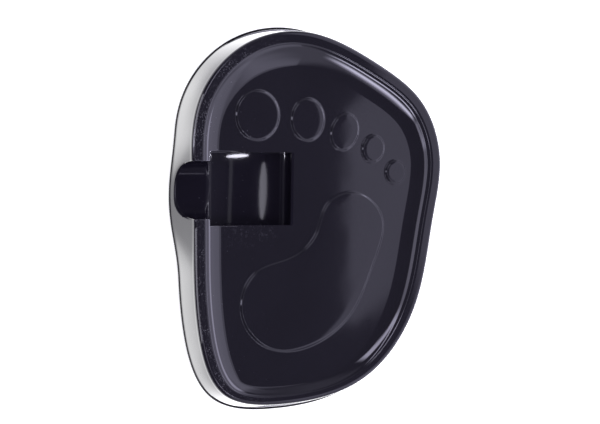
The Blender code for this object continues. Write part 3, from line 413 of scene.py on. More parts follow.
@dataclass
class Tray:
    """The moulded tray: skirt, rim, sloped sides, floor with a raised footprint, pocket and channel."""

    outline: Outline = Outline((
        (0.0880, 0.0000), (0.0925, 0.0355), (0.0780, 0.0750), (0.0445, 0.0995), (-0.0115, 0.1190),
        (-0.0575, 0.1070), (-0.0855, 0.0725), (-0.0885, 0.0100), (-0.0845, -0.0645), (-0.0645, -0.1110),
        (-0.0215, -0.1190), (0.0450, -0.0990), (0.0758, -0.0566),
    ))
    sole: Outline = Outline((
        (0.0295, 0.0165), (0.0145, 0.0135), (0.0080, 0.0085), (0.0010, -0.0090), (-0.0150, -0.0235),
        (-0.0412, -0.0335), (-0.0508, -0.0565), (-0.0325, -0.0805), (0.0000, -0.0800), (0.0275, -0.0610),
        (0.0440, -0.0275), (0.0490, 0.0015),
    ))
    toes: tuple[Toe, ...] = (
        Toe(-0.0406, 0.0633, 0.0156, 0.0160, 0.0),
        Toe(-0.0055, 0.0611, 0.0122, 0.0138, 0.0),
        Toe(0.0207, 0.0538, 0.0102, 0.0125, -22.0),
        Toe(0.0414, 0.0435, 0.0084, 0.0092, -20.0),
        Toe(0.0578, 0.0289, 0.0078, 0.0079, -10.0),
    )
    skirt_gap: float = 0.0070
    rim_height: float = 0.01899
    shy: float = 0.00014
    rise: float = 0.0354
    wall: float = 0.0025
    draft: float = 0.0032
    rim_round: float = 0.0028
    rim_inner_side: float = 0.0120
    steep_side: float = 0.0170
    floor_inset_side: float = 0.0235
    toe_insets: Triple = (0.0122, 0.0186, 0.0262)
    heel_insets: Triple = (0.0090, 0.0118, 0.0150)
    recess: float = 0.0045
    skirt_bead: Pairs = ((0.0, 0.0), (0.0, 0.0006), (0.0002, 0.0009), (0.0007, 0.0009))
    skirt_step: Pair = (0.0009, 0.0012)
    lip: Pairs = ((0.0106, 0.00005), (0.0114, 0.00046), (0.0126, 0.00076))
    lip_round: float = 0.0022
    lip_end: Pair = (0.0132, 0.00104)
    slope_bend: Pair = (0.0169, 0.0030)
    slope_end: Pair = (0.0220, 0.00436)
    foot_bend: float = 0.02252
    under_bead: Pairs = ((0.0057, 0.0034), (0.0068, 0.0027))
    under_slope: Pairs = ((0.0103, 0.0026), (0.0134, 0.0036))
    under_foot: Pair = (0.0216, 0.0002)
    under_drop: float = 0.0040
    speckled: Quad = (0.0036, 0.0052, 0.0100, 0.0112)
    spout_y: float = 0.0080
    spout_out: float = 0.0050
    spout_half: float = 0.0450
    pocket_x: float = -0.0444
    pocket_y: float = 0.0180
    pocket_half_width: float = 0.0281
    pocket_half_length: float = 0.0225
    pocket_depth: float = 0.0100
    channel_y: float = 0.0170
    channel_half_width: float = 0.0175
    pocket_power: float = 4.5
    channel_depth: float = 0.0153
    channel_fall: float = 0.12
    channel_power: float = 3.0
    pad_height: float = 0.0010
    pad_bevel: float = 0.0019
    pad_crown: float = 0.00005
    sole_reach: float = 0.0075
    toe_reach_share: float = 0.62
    edge_blend: float = 0.0011
    window_top: float = 0.0458
    window_bottom: float = -0.0098
    window_right: float = -0.0128
    window_fade: float = 0.0020
    under_overlap: float = 0.0030
    left_of: float = -0.0500
    edge_points: int = 7200
    column_step: float = 0.0021
    lead_in: float = 0.0140
    beside_wall: Row = (0.0001, 0.0003, 0.0006, 0.0010, 0.0016)
    beside_pocket: Row = (0.00006, 0.0002, 0.0005, 0.0009, 0.0016)
    upper_shares: Row = (0.0, 0.03, 0.07, 0.14, 0.3, 0.5, 0.7, 0.86, 0.94, 1.0)
    lower_shares: Row = (0.0, 0.5, 1.0)
    least_gap: float = 0.00006
    least_inset: float = 0.00008
    wall_room: float = 0.00035
    align_reach: float = 0.0030
    probe: float = 0.00004
    longest_step: float = 0.0004
    still: float = 0.0002

    def edge(self) -> tuple[Array, Array]:
        """The skirt's outline and its outward normals, just inside the outline of the frame."""
        points, normals = self.outline.at(self.edge_points)
        return points - normals * self.shy, normals

    def steep(self) -> float:
        """The inset where the rim's bead ends."""
        return self.draft + self.rim_round

    def grown(self, face: Face) -> float:
        """How far the hollows of a skin are grown: by the wall on the lower one."""
        return 0.0 if face is Face.UPPER else self.wall

    def left_x(self, y: Array) -> Array:
        """The outline's x on the channel's side.

        Args:
            y: where it is wanted.

        Returns:
            One x for each y.
        """
        points, _ = self.edge()
        left = points[points[:, 0] < self.left_of]
        order = np.argsort(left[:, 1])
        return np.interp(y, left[order, 1], left[order, 0])

    def rim_z(self, y: Array) -> Array:
        """Height of the rim's top, which climbs towards the toes."""
        return self.skirt_gap + self.rim_height + self.rise * y

    def floor_z(self, y: Array) -> Array:
        """Height of the floor's upper face."""
        return self.rim_z(y) - self.recess

    def spout(self, y: Array) -> Array:
        """How far the skirt's edge bulges below the channel: half a cosine wave along y."""
        wave = np.cos(np.clip((y - self.spout_y) / self.spout_half, -1, 1) * math.pi)
        return self.spout_out * (1 + wave) / 2

    def end_inset(self, side: Array, ends: Triple) -> Array:
        """The insets at an end of the tray that go with insets at its sides, on straight lines between."""
        known = (0.0, self.steep(), self.rim_inner_side, self.steep_side, self.floor_inset_side)
        return np.interp(side, known, (0.0, self.steep(), *ends))

    def lines(self) -> Array:
        """The y of each plain line across the pocket and channel, from the toes' side down.

        Lines crowd where the channel's sides are steep, by equal turns of its superellipse, and beside
        the pocket's two ends.

        Returns:
            One y for each line.
        """
        turn = np.linspace(0.0, math.pi, 61)
        channel = self.channel_y + self.channel_half_width * powered(np.cos(turn), 2 / self.channel_power)
        beside = np.array(self.beside_wall)
        sides = [self.channel_y + way * (self.channel_half_width + beside) for way in (-1, 1)]
        both_ways = np.concatenate((-beside, beside))
        ends = [
            self.pocket_y + way * (self.pocket_half_length + grow) + both_ways
            for grow in (0.0, self.wall)
            for way in (-1, 1)
        ]
        even = np.linspace(self.window_bottom, self.window_top, 41)
        plain = np.concatenate((channel, *sides, *ends, even))
        plain = plain[(plain >= self.window_bottom) & (plain <= self.window_top)]
        plain = np.unique(np.round(plain, 7))
        close = np.concatenate(([False], np.diff(plain) < self.least_gap))
        return plain[~close][::-1]

    def wall_lines(self, grow: float) -> Array:
        """The shares of a pocket end wall's height at which it has lines."""
        return np.array(self.upper_shares if grow == 0 else self.lower_shares)

    def window_lines(self) -> tuple[Array, Array, Array]:
        """All lines down the window: the plain ones, and those of the pocket's end walls, which share a y.

        Returns:
            Each line's y, and its share inside the pocket for the upper skin and for the lower skin.
        """
        y = self.lines()
        walls = []
        for grow in (0.0, self.wall):
            low = self.pocket_y - self.pocket_half_length - grow
            high = self.pocket_y + self.pocket_half_length + grow
            share = self.wall_lines(grow)
            walls.append((low, high, np.tile(share, 2), len(y)))
            y = np.concatenate((y, np.repeat((low, high), len(share))))
        inside = []
        for low, high, share, start in walls:
            part = ((y > low) & (y < high)).astype(float)
            part[np.minimum(np.abs(y - low), np.abs(y - high)) < WELD] = 0.5
            part[start : start + len(share)] = share
            inside.append(part)
        upper, lower = inside
        order = np.lexsort(((upper + lower) * np.where(y > self.pocket_y, 1, -1), -y))
        return y[order], upper[order], lower[order]

    def columns(self) -> tuple[Array, Array, Array, Array, int]:
        """Where the section is carried: first down the window beside the pocket, then round the rest.

        Returns:
            Points by 2, normals by 2, each column's share inside the pocket for the upper skin and
            for the lower skin, and how many columns are in the window.
        """
        points, normals = self.edge()
        window_y, upper, lower = self.window_lines()
        window = np.stack((self.left_x(window_y), window_y), axis=1)
        down = np.flatnonzero((points[:, 0] < self.left_of) & (normals[:, 0] < 0))
        first = down[np.argmin(np.abs(points[down, 1] - self.window_bottom))]
        rest, rest_normals = np.roll(points, -first, axis=0), np.roll(normals, -first, axis=0)
        last = np.argmin(np.hypot(*(rest - window[0]).T)) + 1
        arc = np.concatenate(([0.0], np.cumsum(np.hypot(*np.diff(rest[:last], axis=0).T))))
        at = np.linspace(0.0, arc[-1], int(arc[-1] / self.column_step) + 1)[1:-1]
        along, turned_out = (
            np.stack([np.interp(at, arc, values[:last, axis]) for axis in (0, 1)], axis=1)
            for values in (rest, rest_normals)
        )
        away = smooth_step(np.minimum(at, arc[-1] - at), 0.0, self.lead_in)[:, None]
        straight = np.array((-1.0, 0.0))
        turned_out = turned_out * away + straight * (1 - away)
        turned_out /= np.hypot(*turned_out.T)[:, None]
        none = np.zeros(len(along))
        return (
            np.concatenate((window, along)),
            np.concatenate((np.tile(straight, (len(window), 1)), turned_out)),
            np.concatenate((upper, none)),
            np.concatenate((lower, none)),
            len(window),
        )

    def upper_inner(self) -> Array:
        """Inset and drop from the rim's bead over the lip and down the slope to the floor's edge.

        The lip is straight runs with round corners. The slope and its foot are quadratic curves.

        Returns:
            Points by 2, none of them closer than the least inset.
        """
        corners = np.array(((self.steep(), 0.0), *self.lip, self.lip_end))
        lip = filleted(corners, np.full(len(self.lip), self.lip_round), 6)
        top = np.linspace(lip[0], lip[1], 8)[:-1]
        slope = bezier(np.array((self.lip_end, self.slope_bend, self.slope_end)), 14)
        floor = (self.floor_inset_side, self.recess)
        foot = bezier(np.array((self.slope_end, (self.foot_bend, self.recess), floor)), 6)
        inner = np.concatenate((top, lip[1:], slope[1:], foot[1:-1]))
        inner = inner[(inner[:, 0] > self.steep()) & (inner[:, 0] <= self.floor_inset_side)]
        spaced = np.concatenate(([True], np.diff(inner[:, 0]) > self.least_inset))
        return inner[spaced]

    def profile(self, face: Face) -> Profile:
        """The section of a skin: skirt's edge, drafted wall, bead of the rim, lip, slope and floor.

        Args:
            face: the skin.

        Returns:
            The section, with lines of its own where the pocket's far wall crosses it.
        """
        grow = self.grown(face)
        depth = self.recess + grow
        if face is Face.UPPER:
            edge, foot = np.array(self.skirt_bead), self.skirt_step
            climb, top_drop = np.linspace(0.0, 1.0, 15), self.rim_round
            turn = np.linspace(0.0, math.pi / 2, 11)[1:]
            bead_inset = self.draft + self.rim_round * (1 - np.cos(turn))
            bead = np.stack((bead_inset, self.rim_round * (1 - np.sin(turn))), axis=1)
            inner = self.upper_inner()
        else:
            edge, foot = np.array(((0.0, 0.0), (self.wall * 0.5, 0.0))), (self.wall, 0.0)
            climb, top_drop = np.linspace(0.0, 1.0, 8), self.under_drop
            foot_inset, above_floor = self.under_foot
            bead = np.array(self.under_bead)
            inner = np.array((*self.under_slope, (foot_inset, depth - above_floor)))
        skirt, above = len(edge), len(bead) + len(inner) + 1
        wall = foot[0] + climb * (self.draft + grow - foot[0])
        inset = np.concatenate((edge[:, 0], wall, bead[:, 0], inner[:, 0], (self.floor_inset_side,)))
        share = np.concatenate((np.zeros(skirt), climb, np.ones(above)))
        rise = np.concatenate((edge[:, 1], np.full(len(climb), foot[1]), np.zeros(above)))
        wall_drop = np.concatenate((np.zeros(skirt), np.full(len(climb), top_drop)))
        drop = np.concatenate((wall_drop, bead[:, 1], inner[:, 1], (depth,)))

        wall_inset = self.pocket_x - self.pocket_half_width - grow - self.left_x(self.pocket_y)
        near = (np.abs(inset - wall_inset) < self.wall_room) & (inset < self.floor_inset_side)
        inset, share, rise, drop = (value[~near] for value in (inset, share, rise, drop))
        at = np.searchsorted(inset[skirt:], wall_inset) + skirt
        fill = np.interp(wall_inset, inset[skirt:], drop[skirt:])
        shares = self.wall_lines(grow)
        inset, share, rise, drop = (
            np.insert(value, at, np.full(len(shares), filling))
            for value, filling in ((inset, wall_inset), (share, 1.0), (rise, 0.0), (drop, fill))
        )
        pocket = np.concatenate((np.zeros(at), shares, np.ones(len(inset) - at - len(shares))))
        return Profile(inset, share, rise, drop, pocket)

    def rings(self, profile: Profile, columns: Array, normals: Array, window: int) -> Array:
        """The section carried round the outline.

        A point is the column's place less its normal times the inset, drawn out by the spout low on
        the wall. In the window, points near the pocket's far wall line up with it.

        Args:
            profile: the section.
            columns: places on the outline.
            normals: outward directions there.
            window: how many columns are in the window.

        Returns:
            Section points by columns by 3.
        """
        toes = self.end_inset(profile.inset, self.toe_insets)[:, None]
        heel = self.end_inset(profile.inset, self.heel_insets)[:, None]
        end = np.where(normals[None, :, 1] > 0, toes, heel)
        side = np.repeat(profile.inset[:, None], len(columns), axis=1)
        flat = columns[None] - normals[None] * np.stack((side, end), axis=-1)
        out = self.spout(columns[:, 1]) * (columns[:, 0] < 0)
        flat[..., 0] -= (1 - profile.share)[:, None] * out
        wall_inset = profile.inset[np.flatnonzero(profile.pocket > 0)[0]]
        wall_x = self.left_x(self.pocket_y) + wall_inset
        y = columns[:window, 1]
        core = smooth_step(y, self.window_bottom, self.window_bottom + self.window_fade)
        core *= 1 - smooth_step(y, self.window_top - self.window_fade, self.window_top)
        near = np.clip(1 - np.abs(profile.inset - wall_inset) / self.align_reach, 0, 1)[:, None]
        flat[:, :window, 0] += near * core * (wall_x - columns[:window, 0] - wall_inset)
        low = self.skirt_gap + profile.rise[:, None]
        high = self.rim_z(flat[..., 1]) - profile.drop[:, None]
        share = profile.share[:, None]
        return np.concatenate((flat, ((1 - share) * low + share * high)[..., None]), axis=-1)

    def channel_top(self, x: Array) -> Array:
        """The height from which the channel's depth counts, which falls towards its mouth."""
        mouth = self.edge()[0][:, 0].min() - self.spout_out
        return self.rim_z(self.channel_y) + self.channel_fall * (x - mouth)

    def hollowed(self, points: Array, inside: Array, grow: float) -> Array:
        """The window's points let down into the pocket and the channel.

        Both are half superellipses: the pocket across x below the floor, and the channel across y, out
        from the pocket's middle.

        Args:
            points: rows by columns by 3, on the plain tray.
            inside: rows by columns, the share inside the pocket's walls.
            grow: how far the hollows are grown.

        Returns:
            The points, lower where the hollows are.
        """
        x, y, z = np.moveaxis(points, -1, 0)
        across = np.abs(y - self.channel_y) / (self.channel_half_width + grow)
        deep = self.channel_top(x) - (self.channel_depth + grow) * half_round(across, self.channel_power)
        plain = np.minimum(z, np.where((across < 1) & (x < self.pocket_x), deep, np.inf))
        across = np.abs(x - self.pocket_x) / (self.pocket_half_width + grow)
        deep = self.floor_z(y) - (self.pocket_depth + grow) * half_round(across, self.pocket_power)
        deep = np.minimum(plain, np.where(across <= 1 + WELD, deep, np.inf))
        return np.stack((x, y, plain + (deep - plain) * inside), axis=-1)

    def trough_gap(self, across: Array, up: Array, size: Pair, power: float) -> Array:
        """About the distance to a trough: to its superellipse below 0 and to its straight sides above.

        With g the power mean of across over width and up over depth, the distance is g - 1 over the
        length of g's gradient.

        Args:
            across: from the trough's middle line.
            up: from the level where its sides turn straight.
            size: half width and depth.
            power: of the superellipse.

        Returns:
            The distance, below 0 in the hollow.
        """
        width, depth = size
        part_a, part_u = np.abs(across) / width, np.abs(up) / depth
        mean = np.maximum(part_a**power + part_u**power, 1e-9) ** (1 / power)
        slope = np.hypot(part_a ** (power - 1) / width, part_u ** (power - 1) / depth) * mean ** (1 - power)
        return np.where(up < 0, (mean - 1) / np.maximum(slope, 1e-6), np.abs(across) - width)

    def form(self, points: Array, profile: Profile, grow: float) -> Array:
        """A smooth distance to the tray's skin near the pocket, below 0 in the plastic.

        The plain section's distance and the hollows' distances meet in a smooth maximum: the larger
        of the two, plus a quarter of the blend where they are alike.

        Args:
            points: points by 3.
            profile: the skin's section.
            grow: how far the hollows are grown.

        Returns:
            One distance for each point.
        """
        x, y, z = points.T
        inset = x - self.left_x(y)
        line_x = profile.inset[None] - (1 - profile.share)[None] * self.spout(y)[:, None]
        low = self.skirt_gap + profile.rise[None]
        high = self.rim_z(y)[:, None] - profile.drop[None]
        line_z = (1 - profile.share)[None] * low + profile.share[None] * high
        flat = np.full((len(points), 1), -self.window_right)
        line_x = np.concatenate((line_x, line_x[:, -1:] + flat), axis=1)
        line_z = np.concatenate((line_z, line_z[:, -1:]), axis=1)
        run_x, run_z = np.diff(line_x, axis=1), np.diff(line_z, axis=1)
        from_x, from_z = inset[:, None] - line_x[:, :-1], z[:, None] - line_z[:, :-1]
        length = np.maximum(run_x**2 + run_z**2, 1e-14)
        t = np.clip((from_x * run_x + from_z * run_z) / length, 0, 1)
        gap = np.hypot(from_x - t * run_x, from_z - t * run_z)
        gap[run_x**2 + run_z**2 < 1e-12] = 1.0
        nearest = gap.argmin(axis=1)
        pick = np.arange(len(points)), nearest
        side = np.sign(run_x[pick] * from_z[pick] - run_z[pick] * from_x[pick])
        skin = gap[pick] * np.where(side == 0, 1, side)
        size = self.pocket_half_width + grow, self.pocket_depth + grow
        trough = self.trough_gap(x - self.pocket_x, z - self.floor_z(y), size, self.pocket_power)
        trough = np.maximum(trough, np.abs(y - self.pocket_y) - self.pocket_half_length - grow)
        size = self.channel_half_width + grow, self.channel_depth + grow
        channel = self.trough_gap(y - self.channel_y, z - self.channel_top(x), size, self.channel_power)
        channel = np.maximum(channel, x - self.pocket_x)
        hollow = smooth_larger(-trough, -channel, self.edge_blend)
        return smooth_larger(skin, hollow, self.edge_blend)

    def settled(self, points: Array, profile: Profile, grow: float) -> Array:
        """The window's inner points moved onto the smooth form, by Newton steps down its gradient.

        Args:
            points: rows by columns by 3; those on the window's border stay.
            profile: the skin's section.
            grow: how far the hollows are grown.

        Returns:
            The points, each step no longer than the longest one allowed.
        """
        moved = points.copy()
        inner = moved[1:-1, 1:-1].reshape(-1, 3)
        for _ in range(4):
            value = self.form(inner, profile, grow)
            beside = [self.form(inner + self.probe * axis, profile, grow) for axis in np.eye(3)]
            slope = (np.stack(beside, axis=1) - value[:, None]) / self.probe
            step = value[:, None] * slope / np.maximum((slope**2).sum(axis=1), 0.2)[:, None]
            length = np.linalg.norm(step, axis=1)[:, None]
            inner = inner - step * np.minimum(1.0, self.longest_step / np.maximum(length, 1e-9))
        moved[1:-1, 1:-1] = inner.reshape(moved[1:-1, 1:-1].shape)
        return moved

    def floor_lines(self, start_x: float, face: Face) -> Array:
        """The x of each line across the floor in the window, by equal turns of the trough.

        Args:
            start_x: where the section's last ring stands furthest in.
            face: the skin.

        Returns:
            One x for each line, the last at the window's right side.
        """
        upper = face is Face.UPPER
        half = self.pocket_half_width + self.grown(face)
        turn = np.linspace(math.pi, 0.0, 81 if upper else 25)
        trough = self.pocket_x + half * powered(np.cos(turn), 2 / self.pocket_power)
        trough = trough[trough > start_x + 0.0008]
        beside = self.pocket_x + half + np.array(self.beside_pocket)
        beside = beside[beside < self.window_right - 0.0002]
        right = self.window_right + (0.0 if upper else self.under_overlap)
        return np.concatenate((trough, beside, (right,)))

    def skin(self, face: Face) -> Surface:
        """The upper or the lower skin: section, pocket and channel, and the floor with its pads.

        Args:
            face: the skin.

        Returns:
            The skin, facing out of the plastic, with the rim's top marked on the upper one.
        """
        columns, normals, upper, lower, window = self.columns()
        profile = self.profile(face)
        count = len(profile.inset)
        grow = self.grown(face)
        inside_columns = upper if face is Face.UPPER else lower
        rings = self.rings(profile, columns, normals, window)
        start = rings[-1, :window]
        lines = self.floor_lines(start[:, 0].max(), face)
        x = np.repeat(lines[:, None], window, axis=1)
        y = np.repeat(start[None, :, 1], len(lines), axis=0)
        inner = np.stack((x, y, self.floor_z(y) - grow), axis=-1)
        patch = np.concatenate((rings[:, :window], inner))
        rows_inside = np.concatenate((profile.pocket, np.ones(len(lines))))
        inside = np.minimum(rows_inside[:, None], inside_columns[None, :window])
        patch = self.settled(self.hollowed(patch, inside, grow), profile, grow)
        unmoved = np.abs(patch[:count, :, 2] - rings[:, :window, 2]) < self.still
        rings[:, :window] = patch[:count]
        outer, full_from, full_to, end = self.speckled
        rim = smooth_step(profile.inset, outer, full_from) * (1 - smooth_step(profile.inset, full_to, end))
        rim_mark = np.repeat(rim[:, None] * (face is Face.UPPER), len(columns), axis=1)
        rim_mark[:, :window] *= unmoved
        floor_side = patch[count - 1 :]
        loop = (rings[-1, window:], floor_side[:, 0], floor_side[-1, 1:-1], floor_side[::-1, -1])
        floor = self.floor(np.concatenate(loop), face)
        surface = joined([grid(rings, wrap=True, mark=rim_mark), grid(floor_side), *floor])
        return surface if face is Face.UPPER else surface.flipped()

    def pad_rings(self, shape: Outline | Toe, count: int) -> Array:
        """A pad's rings from its foot on the floor over a soft edge to its crowned top.

        The edge climbs as a smooth S of the inset, and the crown as a cube that levels out.

        Args:
            shape: the pad's outline.
            count: points round it.

        Returns:
            Rings by points by 3.
        """
        points, normals = shape.at(count)
        reach = self.sole_reach if isinstance(shape, Outline) else self.toe_reach_share * shape.half_width
        foot = -0.0002
        bevel = np.linspace(foot, self.pad_bevel, 14)
        inset = np.concatenate(((-0.0009, -0.0005), bevel, np.linspace(0.0024, reach, 9)))
        rise = self.pad_height * smooth_step(inset, foot, self.pad_bevel)
        rise += self.pad_crown * (1 - (1 - np.clip(inset / reach, 0.0, 1.0)) ** 3)
        flat = points[None] - normals[None] * inset[:, None, None]
        z = self.floor_z(flat[..., 1]) + rise[:, None]
        return np.concatenate((flat, z[..., None]), axis=-1)

    def floor(self, loop: Array, face: Face) -> list[Surface]:
        """The flat floor inside a loop, cut round the pads, and the pads.

        Args:
            loop: the floor's edge, counter-clockwise.
            face: the skin; only the upper one has pads.

        Returns:
            The floor, and each pad with its top.
        """
        pads = []
        if face is Face.UPPER:
            pads = [self.pad_rings(self.sole, 240)] + [self.pad_rings(toe, 120) for toe in self.toes]
        surfaces = [flat_between(loop, [rings[0] for rings in pads])]
        for rings in pads:
            surfaces.append(grid(rings, wrap=True))
            surfaces.append(flat_between(rings[-1], []))
        return surfaces


def half_round(across: Array, power: float) -> Array:
    """A superellipse's height over its half width: (1 - across to the power) to one over the power."""
    return np.clip(1 - across**power, 0, None) ** (1 / power)


def smooth_larger(a: Array, b: Array, blend: float) -> Array:
    """The larger of two values, rounded where they are closer than the blend."""
    near = np.clip(blend - np.abs(a - b), 0, None) / blend
    return np.maximum(a, b) + near * near * blend / 4


def at_height(loop: Array, z: float) -> Array:
    """A flat loop's points by 3, all at one height."""
    return np.column_stack((loop, np.full(len(loop), z)))


def flat_between(loop: Array, holes: list[Array]) -> Surface:
    """Triangles over the space inside a loop and outside its holes, which keep their own heights.

    Args:
        loop: points by 3, counter-clockwise.
        holes: loops inside it.

    Returns:
        The flat surface, facing up.
    """
    loops = [loop, *holes]
    points = np.concatenate(loops)
    starts = np.cumsum([0] + [len(one) for one in loops])
    edges = []
    for one, start in zip(loops, starts):
        number = np.arange(len(one))
        edges.append(np.stack((number, np.roll(number, -1)), axis=1) + start)
    edges = np.concatenate(edges)
    flat = [Vector(point) for point in points[:, :2].tolist()]
    _, _, faces, origin, _, _ = delaunay_2d_cdt(flat, edges.tolist(), [], 1, 1e-9)
    source = np.array([group[0] if group else -1 for group in origin])
    tris = source[np.array(faces)]
    tris = tris[(tris >= 0).all(axis=1)]
    corner = points[tris][..., :2]
    first, second = corner[:, 1] - corner[:, 0], corner[:, 2] - corner[:, 0]
    area = first[:, 0] * second[:, 1] - first[:, 1] * second[:, 0]
    tris = np.where((area < 0)[:, None], tris[:, ::-1], tris)[np.abs(area) > 1e-14]
    middle = points[tris][..., :2].mean(axis=1)
    keep = inside_loop(middle, loop)
    for hole in holes:
        keep &= ~inside_loop(middle, hole)
    return Surface(points, tris=tris[keep])


def inside_loop(places: Array, loop: Array) -> Array:
    """Whether each place lies inside a loop, by how often a line to its right crosses the loop.

    Args:
        places: points by 2.
        loop: points by 2 or 3.

    Returns:
        One answer for each place.
    """
    x, y = places[:, :1], places[:, 1:2]
    ax, ay = loop[:, 0], loop[:, 1]
    bx, by = np.roll(ax, -1), np.roll(ay, -1)
    spans = (ay > y) != (by > y)
    rise = np.where(by == ay, 1.0, by - ay)
    crosses = spans & (x < ax + (y - ay) / rise * (bx - ax))
    return crosses.sum(axis=1) % 2 == 1


# Materials


@dataclass(frozen=True)
class Finish:
    """How a surface looks: two close colours it drifts between, roughness, metal and grain."""

    name: str
    colour: Triple
    drift: Triple
    roughness: float
    spread: float
    metallic: float = 0.0
    ior: float = 1.5
    grain: float = 0.0006
    grain_height: float = 0.00001
    patch: float = 0.02


class Finishes(Enum):
    """The finishes of the pieces."""

    BASE_PLASTIC = Finish("base_plastic", (0.012, 0.012, 0.014), (0.018, 0.018, 0.020), 0.42, 0.14)
    RUBBER = Finish("rubber", (0.010, 0.010, 0.010), (0.020, 0.019, 0.018), 0.78, 0.12, grain_height=0.00004)
    ZINC = Finish("zinc_steel", (0.55, 0.56, 0.58), (0.42, 0.43, 0.46), 0.32, 0.18, 1.0, grain=0.0003)
    SPRING = Finish("spring_steel", (0.50, 0.49, 0.47), (0.36, 0.34, 0.32), 0.26, 0.14, 1.0, grain=0.0004)
    NYLON = Finish("nylon", (0.62, 0.60, 0.54), (0.52, 0.50, 0.44), 0.45, 0.10)
    SWITCH = Finish("switch_plastic", (0.020, 0.020, 0.022), (0.030, 0.030, 0.032), 0.50, 0.10)
    PLUNGER = Finish("plunger_plastic", (0.45, 0.05, 0.03), (0.36, 0.04, 0.03), 0.40, 0.10)
    BRASS = Finish("brass", (0.62, 0.45, 0.17), (0.50, 0.35, 0.12), 0.28, 0.14, 1.0, grain=0.0004)
    WIRE = Finish("wire_cover", (0.38, 0.02, 0.02), (0.28, 0.02, 0.02), 0.45, 0.10)


@dataclass(frozen=True)
class Gloss:
    """The tray's plastic: mirror strength, least roughness, colours, and shares of scuffs, dust and wear."""

    name: str
    level: float = 0.5
    least: float = 0.02
    spread: float = 0.02
    ior: float = 1.52
    colour: Triple = (0.0098, 0.0086, 0.0136)
    drift: Triple = (0.0115, 0.0102, 0.0158)
    scuff: Triple = (0.24, 0.24, 0.26)
    dust: Triple = (0.20, 0.20, 0.22)
    wear: Triple = (0.20, 0.20, 0.23)
    scuff_share: float = 0.09
    dust_share: float = 0.35
    wear_share: float = 0.22
    wear_rough: float = 0.5
    wear_height: float = 0.00018
    wave_height: float = 0.00002
    wave: float = 0.030
    patch: float = 0.035
    grain: float = 0.0009


class Glosses(Enum):
    """The tray's two finishes: all over, and a copy for the pocket and channel that reflects a tenth as much,
    which paints the shade there, and is rougher.
    """

    TRAY = Gloss("tray_gloss")
    # Painted shade: the pocket and channel keep a tenth of the mirror strength, to stand for the shade that
    # falls in them.
    RECESS = Gloss("tray_recess", level=0.05, least=0.11)


@dataclass
class Nodes:
    """Short ways to add and link shader nodes in one tree."""

    tree: bpy.types.NodeTree

    def add(self, kind: str, **settings: object) -> Node:
        """A new node.

        Args:
            kind: its type.
            settings: its properties, by name.

        Returns:
            The node.
        """
        node = self.tree.nodes.new(kind)
        for name, value in settings.items():
            setattr(node, name, value)
        return node

    def put(self, value: object, target: Socket) -> None:
        """Feeds an input.

        Args:
            value: an output to link, or a number, vector or colour of three numbers to set.
            target: the input.
        """
        if isinstance(value, Socket):
            self.tree.links.new(value, target)
        elif isinstance(target, bpy.types.NodeSocketColor):
            target.default_value = (*value, 1.0)
        else:
            target.default_value = value

    def feed(self, node: Node, *values: object, **named: object) -> Node:
        """Feeds a node's inputs, in their order and by their names.

        Args:
            node: the node.
            values: what its first inputs get.
            named: what others get, with a low line for each space in a name.

        Returns:
            The node.
        """
        for value, target in zip(values, node.inputs):
            self.put(value, target)
        for name, value in named.items():
            self.put(value, node.inputs[name.replace("_", " ")])
        return node

    def math(self, operation: str, *values: object, clamp: bool = False) -> Socket:
        """A sum of sockets or numbers, kept from 0 to 1 where clamp says so."""
        node = self.add("ShaderNodeMath", operation=operation, use_clamp=clamp)
        return self.feed(node, *values).outputs[0]

    def product(self, *factors: object) -> Socket:
        """Sockets and numbers multiplied together."""
        return reduce(lambda first, second: self.math("MULTIPLY", first, second), factors)

    def ramp(self, value: object, low: object, high: object, first: float = 0.0) -> Socket:
        """A smooth step of a value, from a first result at low to 1 at high."""
        node = self.add("ShaderNodeMapRange", interpolation_type="SMOOTHSTEP")
        return self.feed(node, Value=value, From_Min=low, From_Max=high, To_Min=first).outputs["Result"]

    def noise(self, place: Socket, scale: object, detail: float = 2.0, rough: float = 0.5) -> Socket:
        """Noise over coordinates, by how many features it has in a metre, its octaves and their strength."""
        node = self.add("ShaderNodeTexNoise")
        return self.feed(node, Vector=place, Scale=scale, Detail=detail, Roughness=rough).outputs["Fac"]

    def mix(self, share: object, first: object, second: object) -> Socket:
        """A mix of two colours.

        Args:
            share: of the second.
            first: a socket or a colour.
            second: a socket or a colour.

        Returns:
            The mixed colour.
        """
        node = self.add("ShaderNodeMix", data_type="RGBA")
        for number, value in zip((0, 6, 7), (share, first, second)):
            self.put(value, node.inputs[number])
        return node.outputs[2]

    def bumped(self, height: Socket, distance: float) -> Socket:
        """The normal of a surface with a height over it."""
        bump = self.feed(self.add("ShaderNodeBump"), Height=height, Distance=distance)
        return bump.outputs["Normal"]


